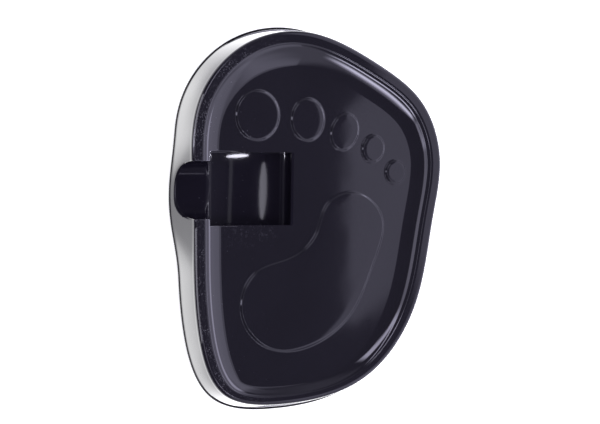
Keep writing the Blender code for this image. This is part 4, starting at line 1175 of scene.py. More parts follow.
@dataclass
class Paint:
    """Makes the materials, and keeps the node groups that they share."""

    grain_group: bpy.types.NodeTree | None = None
    made: dict[str, Material] = field(default_factory=dict)

    def of(self, slot: str) -> Material:
        """The material of a slot, made once.

        Args:
            slot: the record's material slot.

        Returns:
            The slot's material; the tray's gloss where it isn't one of the plain finishes.
        """
        if slot not in self.made:
            plain = {member.value.name: member.value for member in Finishes}
            self.made[slot] = self.plain(plain[slot]) if slot in plain else self.gloss(Glosses.TRAY.value)
        return self.made[slot]

    def solids(self) -> None:
        """Gives each of the frame's solids its slot's material, in the places that it has for one."""
        for row in frame["record"]["subparts"]:
            for place in frame["nodes"][row["node"]].material_slots:
                place.material = self.of(row["material_slot"])
            LOG.info("solid %s: %s", row["node"], row["material_slot"])

    def grain(self) -> bpy.types.NodeTree:
        """The group for uneven surfaces: slow drift of colour and fine grain, from noise at two sizes.

        Returns:
            The group, made once.
        """
        if self.grain_group is None:
            tree = bpy.data.node_groups.new("uneven", "ShaderNodeTree")
            tree.interface.new_socket("Vector", in_out="INPUT", socket_type="NodeSocketVector")
            for way, names in (("INPUT", ("Patch", "Fine")), ("OUTPUT", ("Drift", "Grain"))):
                for name in names:
                    tree.interface.new_socket(name, in_out=way, socket_type="NodeSocketFloat")
            nodes = Nodes(tree)
            source = nodes.add("NodeGroupInput").outputs
            drift, fine = (
                nodes.ramp(nodes.noise(source["Vector"], source[name], detail), 0.3, 0.7)
                for name, detail in (("Patch", 3.0), ("Fine", 5.0))
            )
            nodes.feed(nodes.add("NodeGroupOutput"), Drift=drift, Grain=fine)
            self.grain_group = tree
        return self.grain_group

    def started(self, finish: Finish | Gloss) -> tuple[Material, Nodes, Socket, Socket, Socket]:
        """A new material with the shared group at a finish's two sizes.

        Args:
            finish: its name, its two colours, and the sizes of its drift and grain.

        Returns:
            The material, its nodes, the piece's coordinates, the drifting colour, and the grain.
        """
        material = bpy.data.materials.new(finish.name)
        material.use_nodes = True
        nodes = Nodes(material.node_tree)
        place = nodes.add("ShaderNodeTexCoord").outputs["Object"]
        node = nodes.add("ShaderNodeGroup", node_tree=self.grain())
        nodes.feed(node, Vector=place, Patch=1.0 / finish.patch, Fine=1.0 / finish.grain)
        drift, grain = node.outputs
        return material, nodes, place, nodes.mix(drift, finish.colour, finish.drift), grain

    def plain(self, finish: Finish) -> Material:
        """A finish that drifts in colour, with uneven roughness and a fine grain.

        Args:
            finish: its colours, roughness, metal and sizes.

        Returns:
            The material.
        """
        material, nodes, _, colour, grain = self.started(finish)
        nodes.feed(
            nodes.tree.nodes["Principled BSDF"],
            Base_Color=colour,
            Roughness=nodes.math("MULTIPLY_ADD", grain, finish.spread, finish.roughness - finish.spread / 2),
            Metallic=finish.metallic,
            IOR=finish.ior,
            Normal=nodes.bumped(grain, finish.grain_height),
        )
        return material

    def gloss(self, finish: Gloss) -> Material:
        """The tray's gloss plastic: slight waves, a speckled rim, and dust and scuffs on its big toe's side.

        Args:
            finish: its colours, roughness and amounts.

        Returns:
            The material.
        """
        material, nodes, place, colour, grain = self.started(finish)
        x, y, _ = nodes.feed(nodes.add("ShaderNodeSeparateXYZ"), Vector=place).outputs
        rim = nodes.add("ShaderNodeAttribute", attribute_name="mark").outputs["Fac"]
        worn_side = nodes.ramp(x, -0.02, -0.07)
        speckle = nodes.ramp(nodes.noise(place, 1.0 / 0.0010, 3.0, 0.65), 0.56, 0.74)
        patchy = nodes.ramp(nodes.noise(place, 1.0 / 0.012), 0.42, 0.62, first=0.15)
        worn = nodes.product(rim, worn_side, speckle, patchy)
        dusty = nodes.product(nodes.ramp(nodes.noise(place, 1.0 / 0.0016, 1.0), 0.76, 0.80), worn_side)
        scuffed = nodes.product(
            nodes.ramp(x, -0.066, -0.056),
            nodes.ramp(x, -0.020, -0.034),
            nodes.ramp(y, -0.022, -0.010),
            nodes.ramp(y, 0.000, -0.006),
            nodes.ramp(nodes.noise(place, 1.0 / 0.0022, 4.0, 0.7), 0.50, 0.72),
        )
        for mask, share, tone in (
            (scuffed, finish.scuff_share, finish.scuff),
            (dusty, finish.dust_share, finish.dust),
            (worn, finish.wear_share, finish.wear),
        ):
            colour = nodes.mix(nodes.product(mask, share), colour, tone)
        rough = nodes.math("MULTIPLY_ADD", grain, finish.spread, finish.least)
        wave = nodes.product(nodes.noise(place, 1.0 / finish.wave, 1.0), finish.wave_height)
        height = nodes.math("ADD", wave, nodes.product(worn, finish.wear_height))
        nodes.feed(
            nodes.tree.nodes["Principled BSDF"],
            Base_Color=colour,
            Roughness=nodes.math("ADD", rough, nodes.product(worn, finish.wear_rough), clamp=True),
            IOR=finish.ior,
            Specular_IOR_Level=finish.level,
            Normal=nodes.bumped(height, 1.0),
        )
        return material


# Light, floor and camera


@dataclass(frozen=True)
class Softbox:
    """A soft-edged panel of light in the surroundings, by direction and half sizes in degrees."""

    azimuth: float
    elevation: float
    half: Pair
    soft: Pair
    strength: float
    roll: float = 0.0

    def axes(self) -> tuple[Vector, Vector, Vector]:
        """The direction to its middle, and along its two sides.

        Returns:
            Three unit vectors: to the middle, right and up its face.
        """
        azimuth, elevation = math.radians(self.azimuth), math.radians(self.elevation)
        level = math.cos(elevation)
        axis = Vector((level * math.cos(azimuth), level * math.sin(azimuth), math.sin(elevation)))
        level_side = Vector((-math.sin(azimuth), math.cos(azimuth), 0.0))
        right = Matrix.Rotation(math.radians(self.roll), 3, axis) @ level_side
        return axis, right, axis.cross(right)


@dataclass(frozen=True)
class Lamp:
    """A small flat lamp near the object: its size, brightness, shape, beam's angle and turn."""

    name: str
    size: Pair
    radiance: float
    round: bool = False
    beam_deg: float = 180.0
    tilt_deg: float = 0.0
    yaw_deg: float = 0.0

    def area(self) -> float:
        """Its area: the rectangle's, or that of the ellipse inside it."""
        return self.size[0] * self.size[1] * (math.pi / 4 if self.round else 1.0)

    def turn(self) -> Matrix:
        """How it is turned from facing straight down: tilted towards -X, then round Z."""
        yaw = Matrix.Rotation(math.radians(self.yaw_deg), 4, "Z")
        return yaw @ Matrix.Rotation(math.radians(self.tilt_deg), 4, "Y")


@dataclass
class Studio:
    """The camera, the white floor and the light of the photograph."""

    tilt_deg: float = 28.0
    floor_radius: float = 4.0
    floor_gap: float = 0.00005
    floor_colour: Triple = (0.85, 0.85, 0.85)
    floor_seen: float = 0.9
    floor_light: float = 8.0
    floor_least: float = 0.23
    floor_rings: Row = (0.0040, 0.010, 0.016, 0.022, 0.030, 0.040, 0.090)
    floor_edge: float = 0.0001
    away_fade: Pair = (0.006, 0.028)
    toe_fade: Pair = (0.050, 0.100)
    tip_fade: Pair = (0.078, 0.104)
    heel_fade: Pair = (0.080, 0.112)
    away_loss: float = 0.65
    end_loss: float = 0.33
    tip_more: float = 0.8
    outline_steps: int = 240
    distance: float = 2.0
    view_width: float = 0.3768
    target: Triple = (0.0008, 0.0037, 0.0017)
    sensor: float = 36.0
    sight: float = 50.0
    ambient: float = 0.185
    tint: Triple = (0.94, 0.91, 1.18)
    boxes: tuple[Softbox, ...] = (
        Softbox(8.0, 29.6, (38.0, 31.4), (6.0, 0.12), 0.90, roll=-5.8),
        Softbox(8.0, 26.0, (46.0, 10.0), (7.0, 3.0), 0.55),
        Softbox(-60.0, 32.0, (26.0, 22.0), (5.0, 3.0), 0.75),
        Softbox(-81.0, 57.5, (11.0, 2.0), (4.0, 1.4), 12.0, roll=-30.0),
        Softbox(117.0, 59.6, (11.0, 3.5), (4.0, 2.0), 6.5, roll=22.0),
        Softbox(235.0, 65.6, (8.0, 2.4), (3.0, 1.2), 3.0, roll=-21.0),
        Softbox(178.0, 35.0, (4.0, 17.0), (2.0, 4.0), 3.5),
        Softbox(2.0, 9.0, (40.0, 4.5), (8.0, 2.0), 2.6),
        Softbox(185.0, 69.0, (22.0, 2.5), (7.0, 1.2), 1.9),
        Softbox(92.0, 22.0, (26.0, 16.0), (10.0, 8.0), 0.30),
    )
    over_pocket: tuple[tuple[Lamp, Triple], ...] = (
        (Lamp("glint", (0.0150, 0.0020), 260.0, round=True, yaw_deg=3.4), (-0.0420, 0.0377, 0.0258)),
        (
            Lamp("bright_stripe", (0.0038, 0.0360), 11.0, round=True, beam_deg=90.0, tilt_deg=45.0),
            (-0.0247, 0.0160, 0.0260),
        ),
        (Lamp("dim_stripe", (0.0022, 0.0430), 5.0), (-0.0462, 0.0175, 0.0260)),
    )
    beside_rim: tuple[tuple[Lamp, float], ...] = (
        (Lamp("toe_side", (0.044, 0.020), 4.0), 0.063),
        (Lamp("heel_side", (0.076, 0.020), 4.0), -0.045),
    )
    lamp_tint: Triple = (0.88, 0.87, 1.0)
    rim_lamp_z: float = 0.040
    rim_lamp_out: float = 0.010

    def softbox_group(self) -> bpy.types.NodeTree:
        """A node group for one panel: its mask from the direction's places right and up its face.

        A place is the direction's part along a side over its part along the axis. The mask falls in a
        smooth step from near to far on each side, and is 0 behind.

        Returns:
            The group.
        """
        tree = bpy.data.node_groups.new("softbox", "ShaderNodeTree")
        for name in ("Direction", "Axis", "Right", "Up"):
            tree.interface.new_socket(name, in_out="INPUT", socket_type="NodeSocketVector")
        for name in ("Right Near", "Right Far", "Up Near", "Up Far", "Strength"):
            tree.interface.new_socket(name, in_out="INPUT", socket_type="NodeSocketFloat")
        tree.interface.new_socket("Light", in_out="OUTPUT", socket_type="NodeSocketFloat")
        nodes = Nodes(tree)
        source = nodes.add("NodeGroupInput").outputs
        dots = {}
        for name in ("Axis", "Right", "Up"):
            dot = nodes.add("ShaderNodeVectorMath", operation="DOT_PRODUCT")
            dots[name] = nodes.feed(dot, source["Direction"], source[name]).outputs["Value"]
        ahead = nodes.math("MAXIMUM", dots["Axis"], 0.001)
        factors = [nodes.math("GREATER_THAN", dots["Axis"], 0.01)]
        for name in ("Right", "Up"):
            place = nodes.math("ABSOLUTE", nodes.math("DIVIDE", dots[name], ahead))
            factors.append(nodes.ramp(place, source[name + " Far"], source[name + " Near"]))
        light = nodes.product(*factors, source["Strength"])
        nodes.feed(nodes.add("NodeGroupOutput"), Light=light)
        return tree

    def surroundings(self) -> None:
        """Dim all round, with soft panels; white where the camera looks past the floor."""
        world = bpy.data.worlds.new("studio")
        bpy.context.scene.world = world
        world.use_nodes = True
        nodes = Nodes(world.node_tree)
        world.node_tree.nodes.clear()
        direction = nodes.add("ShaderNodeTexCoord").outputs["Generated"]
        light = self.ambient
        group = self.softbox_group()
        for box in self.boxes:
            panel = nodes.add("ShaderNodeGroup", node_tree=group)
            axis, right, up = box.axes()
            nodes.feed(panel, Direction=direction, Axis=axis, Right=right, Up=up, Strength=box.strength)
            for name, half, soft in zip(("Right", "Up"), box.half, box.soft):
                panel.inputs[name + " Near"].default_value = math.tan(math.radians(half - soft))
                panel.inputs[name + " Far"].default_value = math.tan(math.radians(half + soft))
            light = nodes.math("ADD", light, panel.outputs["Light"])
        seen = nodes.add("ShaderNodeLightPath").outputs["Is Camera Ray"]
        tinted = nodes.add("ShaderNodeVectorMath", operation="SCALE")
        nodes.feed(tinted, Vector=self.tint, Scale=light)
        shade = nodes.mix(seen, tinted.outputs[0], (1.0, 1.0, 1.0))
        background = nodes.feed(nodes.add("ShaderNodeBackground"), Color=shade)
        nodes.feed(nodes.add("ShaderNodeOutputWorld"), Surface=background.outputs[0])

    def floor_glow(self, y: Array) -> Array:
        """The light that the gloss sees on the floor, less further from the tray and less at its ends.

        Args:
            y: places along the tray's outline.

        Returns:
            The floor's rings by places, from 0 to 1.
        """
        ends = np.maximum(smooth_step(y, *self.toe_fade), smooth_step(-y, *self.heel_fade))
        ends = ends + self.tip_more * smooth_step(y, *self.tip_fade)
        away = smooth_step(np.array(self.floor_rings), *self.away_fade)[:, None]
        near = np.clip(1 - self.away_loss * away - self.end_loss * ends, 0.0, 1.0)
        return self.floor_least + (1 - self.floor_least) * smooth_step(near, 0.0, 1.0)

    def floor_white(self) -> Material:
        """Pale to the light, white to the camera but for a faint shadow, and as its mark says to the gloss.

        Returns:
            The material.
        """
        material = bpy.data.materials.new("floor_white")
        material.use_nodes = True
        nodes = Nodes(material.node_tree)
        material.node_tree.nodes.clear()
        diffuse = nodes.feed(nodes.add("ShaderNodeBsdfDiffuse"), Color=self.floor_colour)
        path = nodes.add("ShaderNodeLightPath").outputs
        mark = nodes.add("ShaderNodeAttribute", attribute_name="mark").outputs["Fac"]
        lit = nodes.product(mark, self.floor_light, path["Is Glossy Ray"])
        seen = nodes.product(path["Is Camera Ray"], self.floor_seen)
        glow = nodes.feed(nodes.add("ShaderNodeEmission"), Strength=nodes.math("ADD", lit, seen))
        both = nodes.feed(nodes.add("ShaderNodeAddShader"), diffuse.outputs[0], glow.outputs[0])
        nodes.feed(nodes.add("ShaderNodeOutputMaterial"), Surface=both.outputs[0])
        return material

    def floor(self) -> Object:
        """A wide floor whose rings follow the tray's outline at growing distances, then end in a circle.

        Returns:
            The floor, with the light that the gloss sees as its mark.
        """
        points, normals = Tray().outline.at(self.outline_steps)
        mark = np.pad(self.floor_glow(points[:, 1]), ((1, 2), (0, 0)))
        first, last = self.floor_rings[0] - self.floor_edge, self.floor_rings[-1] + self.floor_edge
        away = np.array((first, *self.floor_rings, last))
        far = points / np.linalg.norm(points, axis=1, keepdims=True) * self.floor_radius
        flat = np.concatenate((points[None] + normals[None] * away[:, None, None], far[None]))
        rings = np.concatenate((flat, np.full((*flat.shape[:2], 1), -self.floor_gap)), axis=-1)
        floor = shown("floor", joined([grid(rings, wrap=True, mark=mark).flipped(), capped(rings[0])]))
        floor.data.materials.append(self.floor_white())
        return floor

    def lamp(self, lamp: Lamp, place: Matrix) -> None:
        """A flat lamp that only the gloss sees, facing down its own -Z.

        Args:
            lamp: its name, shape, size and brightness.
            place: where it stands and how it is turned.
        """
        data = bpy.data.lights.new(lamp.name, "AREA")
        data.shape = "ELLIPSE" if lamp.round else "RECTANGLE"
        data.size, data.size_y = lamp.size
        data.energy = lamp.radiance * math.pi * lamp.area()
        data.color = self.lamp_tint
        data.spread = math.radians(lamp.beam_deg)
        obj = bpy.data.objects.new(lamp.name, data)
        obj.matrix_world = place
        obj.visible_camera = obj.visible_diffuse = False
        bpy.context.scene.collection.objects.link(obj)

    def lamps(self) -> None:
        """Small lamps over the pocket for its glint and stripes, and two beside the rim's left side."""
        for lamp, place in self.over_pocket:
            self.lamp(lamp, Matrix.Translation(place) @ lamp.turn())
        points, normals = Tray().outline.at(self.outline_steps)
        left = np.flatnonzero(points[:, 0] < 0)
        for lamp, y in self.beside_rim:
            at = left[np.argmin(np.abs(points[left, 1] - y))]
            out = Vector((*normals[at], 0.0)).normalized()
            turn = Matrix((UP.cross(out), UP, out)).transposed().to_4x4()
            middle = Vector((*points[at], self.rim_lamp_z)) + self.rim_lamp_out * out
            self.lamp(lamp, Matrix.Translation(middle) @ turn)

    def camera(self) -> None:
        """A long lens from above and from the channel's side, upright in the picture."""
        tilt = math.radians(self.tilt_deg)
        back = Vector((-math.sin(tilt), 0.0, math.cos(tilt)))
        right = Vector((math.cos(tilt), 0.0, math.sin(tilt)))
        data = bpy.data.cameras.new("camera")
        data.sensor_width = self.sensor
        data.sensor_fit = "HORIZONTAL"
        data.lens = self.sensor * self.distance / self.view_width
        data.clip_end = self.sight
        camera = bpy.data.objects.new("camera", data)
        place = Vector(self.target) + back * self.distance
        turn = Matrix((right, Vector((0.0, 1.0, 0.0)), back)).transposed().to_4x4()
        camera.matrix_world = Matrix.Translation(place) @ turn
        bpy.context.scene.collection.objects.link(camera)
        bpy.context.scene.camera = camera

    def build(self) -> None:
        """Sets up the picture."""
        bpy.context.scene.view_settings.view_transform = "Standard"
        self.camera()
        self.surroundings()
        self.lamps()
        self.floor()
        LOG.info("studio: %d panels", len(self.boxes))


# Pieces

SEAT = 0.0003
HINGE = (-0.0120, -0.0920, 0.0110)
LUG_OUT = 0.0250
EAR = 0.0046
BASE_TOP = 0.0054
ROOT = 0.0042
BRACKET_FROM = 0.0299
BRACKET_THICK = 0.0015
FLANGE = 0.0110
BRACKET_SCREW_Y = 0.0055
SCREW_HOLE = 0.0016
SPRINGS = ((-0.0400, 0.0740), (0.0340, 0.0680))
SWITCH = (0.0150, -0.0420)
SWITCH_SCREW = (0.0150, -0.03275)
PANEL_X = 0.07395
JACK = (-0.0200, 0.0105)
UP = Vector((0.0, 0.0, 1.0))
ALONG_X = Matrix(((0, 0, 1, 0), (1, 0, 0, 0), (0, 1, 0, 0), (0, 0, 0, 1)))


def around(x: float, y: float, radius: float, turn: Array) -> Array:
    """Points by 2 at a radius from a middle, one at each turn."""
    return np.stack((x + radius * np.cos(turn), y + radius * np.sin(turn)), axis=1)


def circle(x: float, y: float, radius: float, steps: int = 48) -> Array:
    """A circle's points by 2, counter-clockwise."""
    return around(x, y, radius, round_angles(steps))


def screw_hole(place: Pair) -> Array:
    """The outline of a screw's hole round a place."""
    return circle(*place, SCREW_HOLE, 32)


def bracket_screws(out: int) -> list[Pair]:
    """The places of a bracket's two screws, on the side that out points to."""
    x = HINGE[0] + out * (BRACKET_FROM + (BRACKET_THICK + FLANGE) / 2)
    return [(x, HINGE[1] + way * BRACKET_SCREW_Y) for way in (-1, 1)]


def round_box(low: Pair, high: Pair, radius: float) -> Array:
    """A rectangle's outline with round corners, counter-clockwise.

    Args:
        low: its lower left corner.
        high: its upper right corner.
        radius: of the corners.

    Returns:
        Points by 2.
    """
    (x0, y0), (x1, y1) = low, high
    middle = ((x0 + x1) / 2, y0)
    corners = np.array((middle, (x1, y0), (x1, y1), (x0, y1), (x0, y0), middle))
    return filleted(corners, np.full(4, radius), 8)[:-1]


def bored(rows: Array, holes: tuple[Array, ...]) -> Surface:
    """A solid with flat faces on its lowest and highest rows, and holes right through.

    Args:
        rows: rows by points by 3, from the lower face up, each counter-clockwise.
        holes: outlines by 2 inside it, counter-clockwise.

    Returns:
        The closed surface, facing out.
    """
    bottoms, tops = ([at_height(hole, row[0, 2]) for hole in holes] for row in (rows[0], rows[-1]))
    walls = [grid(np.stack(pair), wrap=True).flipped() for pair in zip(bottoms, tops)]
    faces = [flat_between(rows[-1], tops), flat_between(rows[0], bottoms).flipped()]
    return joined([grid(rows, wrap=True), *walls, *faces])


def prism(section: Array, low: float, high: float, holes: tuple[Array, ...] = ()) -> Surface:
    """A section by 2 carried from one height to another, with holes right through."""
    return bored(np.stack((at_height(section, low), at_height(section, high))), holes)


def standing(place: Pair, z: float = 0.0) -> Matrix:
    """The move to a place at a height."""
    return Matrix.Translation((*place, z))


@dataclass(frozen=True)
class Turned:
    """A solid turned about Z: its half section's corners, up its outer side, and their radii."""

    corners: Pairs
    radii: Row
    steps: int = 64

    def at(self, place: Matrix) -> Surface:
        """The solid carried to a place."""
        return revolved(filleted(np.array(self.corners), np.array(self.radii), 5), self.steps).moved(place)


@dataclass(frozen=True)
class Screw:
    """A pan-head screw along Z with a cross recess and a rolled thread; its head's lower face is at 0."""

    length: float
    radius: float = 0.0013
    head: float = 0.0028
    height: float = 0.0014
    point: float = 0.0006
    thread: float = 0.00022
    pitch: float = 0.0007
    head_side: float = 0.0008

    def profile(self) -> Array:
        """The half section: point, ridges of the thread, neck, and the head with its crown.

        Returns:
            Radius and height of each point, from the tip up.
        """
        count = 2 * int((self.length - 2 * self.point) / self.pitch) + 1
        z = np.linspace(self.point - self.length, -self.point, count)
        ridges = np.column_stack((self.radius - self.thread * (np.arange(count) % 2), z))
        shoulder = (self.head - self.head_side, self.height - 0.0001)
        edge = ((self.radius, 0.0), (self.head, 0.0), (self.head, self.head_side))
        corners = np.array((*edge, shoulder, (0.0, self.height)))
        crown = filleted(corners, np.array((0.00015, 0.0005, 0.0006)), 6)
        tip = ((0.0, -self.length), (self.radius - self.point, -self.length))
        return np.concatenate((tip, ridges, crown))

    def cross(self) -> Surface:
        """The driver's cross: four arms, a quarter turn apart, narrower at their foot.

        Returns:
            A closed surface to cut with.
        """
        arm, half = 0.60 * self.head, 0.14 * self.head
        quarter = np.array(((arm, -half), (arm, half), (half, half)))
        spin = np.array(((0.0, 1.0), (-1.0, 0.0)))
        loop = np.concatenate([quarter @ np.linalg.matrix_power(spin, turn) for turn in range(4)])
        foot, mouth = at_height(0.6 * loop, 0.4 * self.height), at_height(1.05 * loop, 1.2 * self.height)
        return joined([grid(np.stack((foot, mouth)), wrap=True), capped(foot, up=False), capped(mouth)])


@dataclass
class Fitter:
    """Puts pieces on their bodies, with their finish and the solids that they stand for."""

    paint: Paint = field(default_factory=Paint)

    def dress(self, obj: Object, slot: str, body: str, *nodes: str) -> Object:
        """Gives an object its slot's material and its body.

        Args:
            obj: the piece.
            slot: the record's material slot.
            body: what it rides on.
            nodes: the solids that it stands for.

        Returns:
            The piece.
        """
        obj.data.materials.clear()
        obj.data.materials.append(self.paint.of(slot))
        if nodes:
            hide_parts(*nodes)
        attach(obj, body)
        LOG.info("piece %s on %s: %d faces", obj.name, body, len(obj.data.polygons))
        return obj

    def add(self, name: str, surface: Surface, slot: str, body: str, *nodes: str) -> Object:
        """A piece of a surface, dressed."""
        return self.dress(shown(name, surface), slot, body, *nodes)

    def fix(self, name: str, screw: Screw, place: Matrix, node: str) -> None:
        """A screw in the base, its cross cut, its mesh carried to a place.

        Args:
            name: of the piece.
            screw: its shape.
            place: where its head's lower face sits.
            node: the solid that it stands for.
        """
        obj = shown(name, revolved(screw.profile(), 40))
        carved(obj, shown("cross", screw.cross()))
        obj.data.transform(place)
        self.dress(obj, "zinc_steel", BASE, node)


@dataclass
class Base:
    """The plate with its bosses and jack panel, the feet, and their screws."""

    fitter: Fitter
    outline: Outline
    feet: Pairs = ((-0.058, 0.084), (0.056, 0.068), (-0.060, -0.080), (0.040, -0.076))
    inset: float = 0.00444
    bottom: float = 0.0030
    edge: float = 0.0005
    panel_thick: float = 0.0025
    panel_half: float = 0.0085
    panel_over: float = 0.0062
    panel_hole: float = 0.0048
    relief_half: float = 0.0068
    boss: Turned = Turned(
        ((0.0, ROOT), (0.0044, ROOT), (0.0042, 0.0099), (0.0, 0.0099)), (0.0001, 0.0006), 48
    )
    spigot: Turned = Turned(
        ((0.0, ROOT), (0.0042, ROOT), (0.0040, 0.0072), (0.0, 0.0072)), (0.0001, 0.0006), 48
    )
    foot: Turned = Turned(
        (
            (0.0016, 0.0018), (0.0038, 0.0018), (0.0038, 0.0000), (0.0072, 0.0000),
            (0.0080, 0.0011), (0.0080, 0.0027), (0.0016, 0.0027), (0.0016, 0.0018),
        ),
        (0.0003, 0.0003, 0.0008, 0.0008, 0.0002, 0.0001),
        72,
    )
    foot_well: float = 0.0015
    screw: Screw = Screw(0.0055)

    def plate(self) -> Surface:
        """The plate: its outline drawn in along its normals, its edges quarter circles, with screw holes.

        Returns:
            The closed plate.
        """
        points, normals = self.outline.at(900)
        turn = np.linspace(0.0, math.pi / 2, 7)
        inset = self.inset + self.edge * np.concatenate((1 - np.sin(turn), 1 - np.cos(turn)))
        low, high = self.bottom + self.edge * (1 - np.cos(turn)), BASE_TOP - self.edge * (1 - np.sin(turn))
        height = np.concatenate((low, high))[:, None, None]
        flat = points - normals * inset[:, None, None]
        rows = np.concatenate((flat, np.broadcast_to(height, (*flat.shape[:2], 1))), axis=2)
        places = (*bracket_screws(-1), *bracket_screws(1), SWITCH_SCREW)
        return bored(rows, tuple(screw_hole(place) for place in places))

    def relief(self) -> Surface:
        """The cutter that clears the plate's edge for the nut."""
        y, half = JACK[0], self.relief_half
        return prism(round_box((PANEL_X + self.panel_thick, y - half), (0.12, y + half), 0.0008), 0.0, 0.01)

    def bosses(self) -> Surface:
        """The screw bosses over the feet, and the spigots that hold the springs, all tapered posts."""
        bosses = [self.boss.at(standing(place)) for place in self.feet]
        return joined(bosses + [self.spigot.at(standing(place)) for place in SPRINGS])

    def panel(self) -> Surface:
        """The wall that carries the jack, with a hole for its nose.

        Returns:
            A round-cornered plate across x.
        """
        low, high = (JACK[0] - self.panel_half, ROOT), (JACK[0] + self.panel_half, JACK[1] + self.panel_over)
        hole = circle(*JACK, self.panel_hole)
        wall = prism(round_box(low, high, 0.0010), PANEL_X, PANEL_X + self.panel_thick, (hole,))
        return wall.moved(ALONG_X)

    def build(self) -> None:
        """Makes the base's pieces."""
        plate = shown("base_floor", self.plate())
        carved(plate, shown("relief", self.relief()))
        self.fitter.dress(plate, "base_plastic", BASE, "base_plate")
        self.fitter.add("base_bosses", self.bosses(), "base_plastic", BASE)
        self.fitter.add("jack_panel", self.panel(), "base_plastic", BASE)
        for number, place in enumerate(self.feet, 1):
            pad = self.foot.at(standing(place))
            self.fitter.add(f"foot_pad_{number}", pad, "rubber", BASE, f"rubber_foot_{number}")
            seat = standing(place, self.foot_well) @ Matrix.Rotation(math.pi, 4, "X")
            self.fitter.fix(f"foot_fixing_{number}", self.screw, seat, f"foot_screw_{number}")


@dataclass
class Hinge:
    """The pin, the bushes that turn on it, and the brackets with their screws."""

    fitter: Fitter
    bracket_half: float = 0.0090
    ear_foot: Pair = (0.0068, 0.0064)
    pin_hole: float = 0.00215
    sleeve: Turned = Turned(
        (
            (0.00215, -0.0030), (0.00325, -0.0030), (0.00325, 0.0033), (0.00420, 0.0033),
            (0.00420, 0.0043), (0.00215, 0.0043), (0.00215, -0.0030),
        ),
        (0.0003, 0.0001, 0.0001, 0.0004, 0.0002),
    )
    screw: Screw = Screw(0.0042)

    def pin(self) -> Surface:
        """The pin along X, with a groove near each end and chamfered ends.

        Returns:
            The turned pin.
        """
        groove = ((0.0020, 0.0317), (0.0016, 0.0317), (0.0016, 0.0328), (0.0020, 0.0328))
        upper = (*groove, (0.0020, 0.0343), (0.0, 0.0343))
        corners = tuple((radius, -z) for radius, z in reversed(upper)) + upper
        whole = Turned(corners, (0.0004, *(0.0001,) * 8, 0.0004))
        return whole.at(Matrix.Translation(HINGE) @ Matrix.Rotation(math.pi / 2, 4, "Y"))

    def bush(self, out: int) -> Surface:
        """A flanged bush in the tray's lug on the side that out points to."""
        place = Matrix.Translation((HINGE[0] + out * LUG_OUT, *HINGE[1:]))
        return self.sleeve.at(place @ Matrix.Rotation(out * math.pi / 2, 4, "Y"))

    def bracket(self, out: int) -> Surface:
        """An ear round the pin, and a flange on the base with two screw holes.

        Args:
            out: the side, -1 or 1.

        Returns:
            The ear's half circle on straight sides, and the flange.
        """
        top = around(*HINGE[1:], EAR, np.linspace(0.0, math.pi, 33))
        half, low_z = self.ear_foot
        foot = np.array(((HINGE[1] - half, low_z), (HINGE[1] + half, low_z)))
        inner = HINGE[0] + out * BRACKET_FROM
        near, far = sorted((inner, inner + out * BRACKET_THICK))
        hole = circle(*HINGE[1:], self.pin_hole)
        ear = prism(np.concatenate((top, foot)), near, far, (hole,)).moved(ALONG_X)
        left, right = sorted((inner, inner + out * (BRACKET_THICK + FLANGE)))
        flat = round_box((left, HINGE[1] - self.bracket_half), (right, HINGE[1] + self.bracket_half), 0.0015)
        holes = tuple(screw_hole(place) for place in bracket_screws(out))
        bottom = BASE_TOP + SEAT
        return joined([ear, prism(flat, bottom, bottom + BRACKET_THICK, holes)])

    def build(self) -> None:
        """Makes the hinge's pieces."""
        self.fitter.add("pivot_pin", self.pin(), "zinc_steel", BASE, "hinge_pin")
        for side, out in (("left", -1), ("right", 1)):
            self.fitter.add(f"bush_{side}", self.bush(out), "nylon", TREADLE, f"pivot_bush_{side}")
            self.fitter.add(f"bracket_{side}", self.bracket(out), "zinc_steel", BASE, f"hinge_bracket_{side}")
            for number, place in enumerate(bracket_screws(out), 1):
                seat = standing(place, BASE_TOP + 2 * SEAT + BRACKET_THICK)
                name, node = f"bracket_fixing_{side}_{number}", f"bracket_screw_{side}_{number}"
                self.fitter.fix(name, self.screw, seat, node)


@dataclass(frozen=True)
class Coil:
    """A return spring: where it stands, its top, and the share of its height left at full press."""

    side: str
    x: float
    y: float
    top: float
    keep: float


@dataclass
class Springs:
    """The return springs and the rubber stop below the toes."""

    fitter: Fitter
    coils: tuple[Coil, ...] = (
        Coil("left", *SPRINGS[0], 0.0201, 0.674),
        Coil("right", *SPRINGS[1], 0.0199, 0.681),
    )
    radius: float = 0.0055
    wire: float = 0.0006
    turns: int = 6
    bottom: float = BASE_TOP + SEAT
    stop_place: Pair = (-0.00199, 0.09201)
    stop: Turned = Turned(
        (
            (0.0, BASE_TOP + SEAT), (0.0060, BASE_TOP + SEAT), (0.0060, 0.0072),
            (0.0045, 0.0146), (0.0027, 0.0161), (0.0, 0.0161),
        ),
        (0.0002, 0.0010, 0.0010, 0.0008),
    )

    def coil(self, coil: Coil) -> Surface:
        """A helix: it turns evenly and climbs by the same amount in each turn.

        Args:
            coil: the spring.

        Returns:
            The wire, a little thinner than the solid's.
        """
        share = np.linspace(0.0, 1.0, 48 * self.turns + 1)
        turn = 2 * math.pi * self.turns * share
        low, high = self.bottom + self.wire, coil.top - self.wire
        x, y = coil.x + self.radius * np.cos(turn), coil.y + self.radius * np.sin(turn)
        return tube(np.stack((x, y, low + (high - low) * share), axis=1), self.wire * 0.99, 18)

    def build(self) -> None:
        """Makes the springs, each with a mesh of its own, and the stop; the real springs shorten as the tray
        goes down.
        """
        for coil in self.coils:
            name, node = f"coil_{coil.side}", f"return_spring_{coil.side}"
            obj = self.fitter.add(name, self.coil(coil), "spring_steel", BASE, node)
            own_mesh(obj)
        self.fitter.add("buffer", self.stop.at(standing(self.stop_place)), "rubber", BASE, "down_stop")


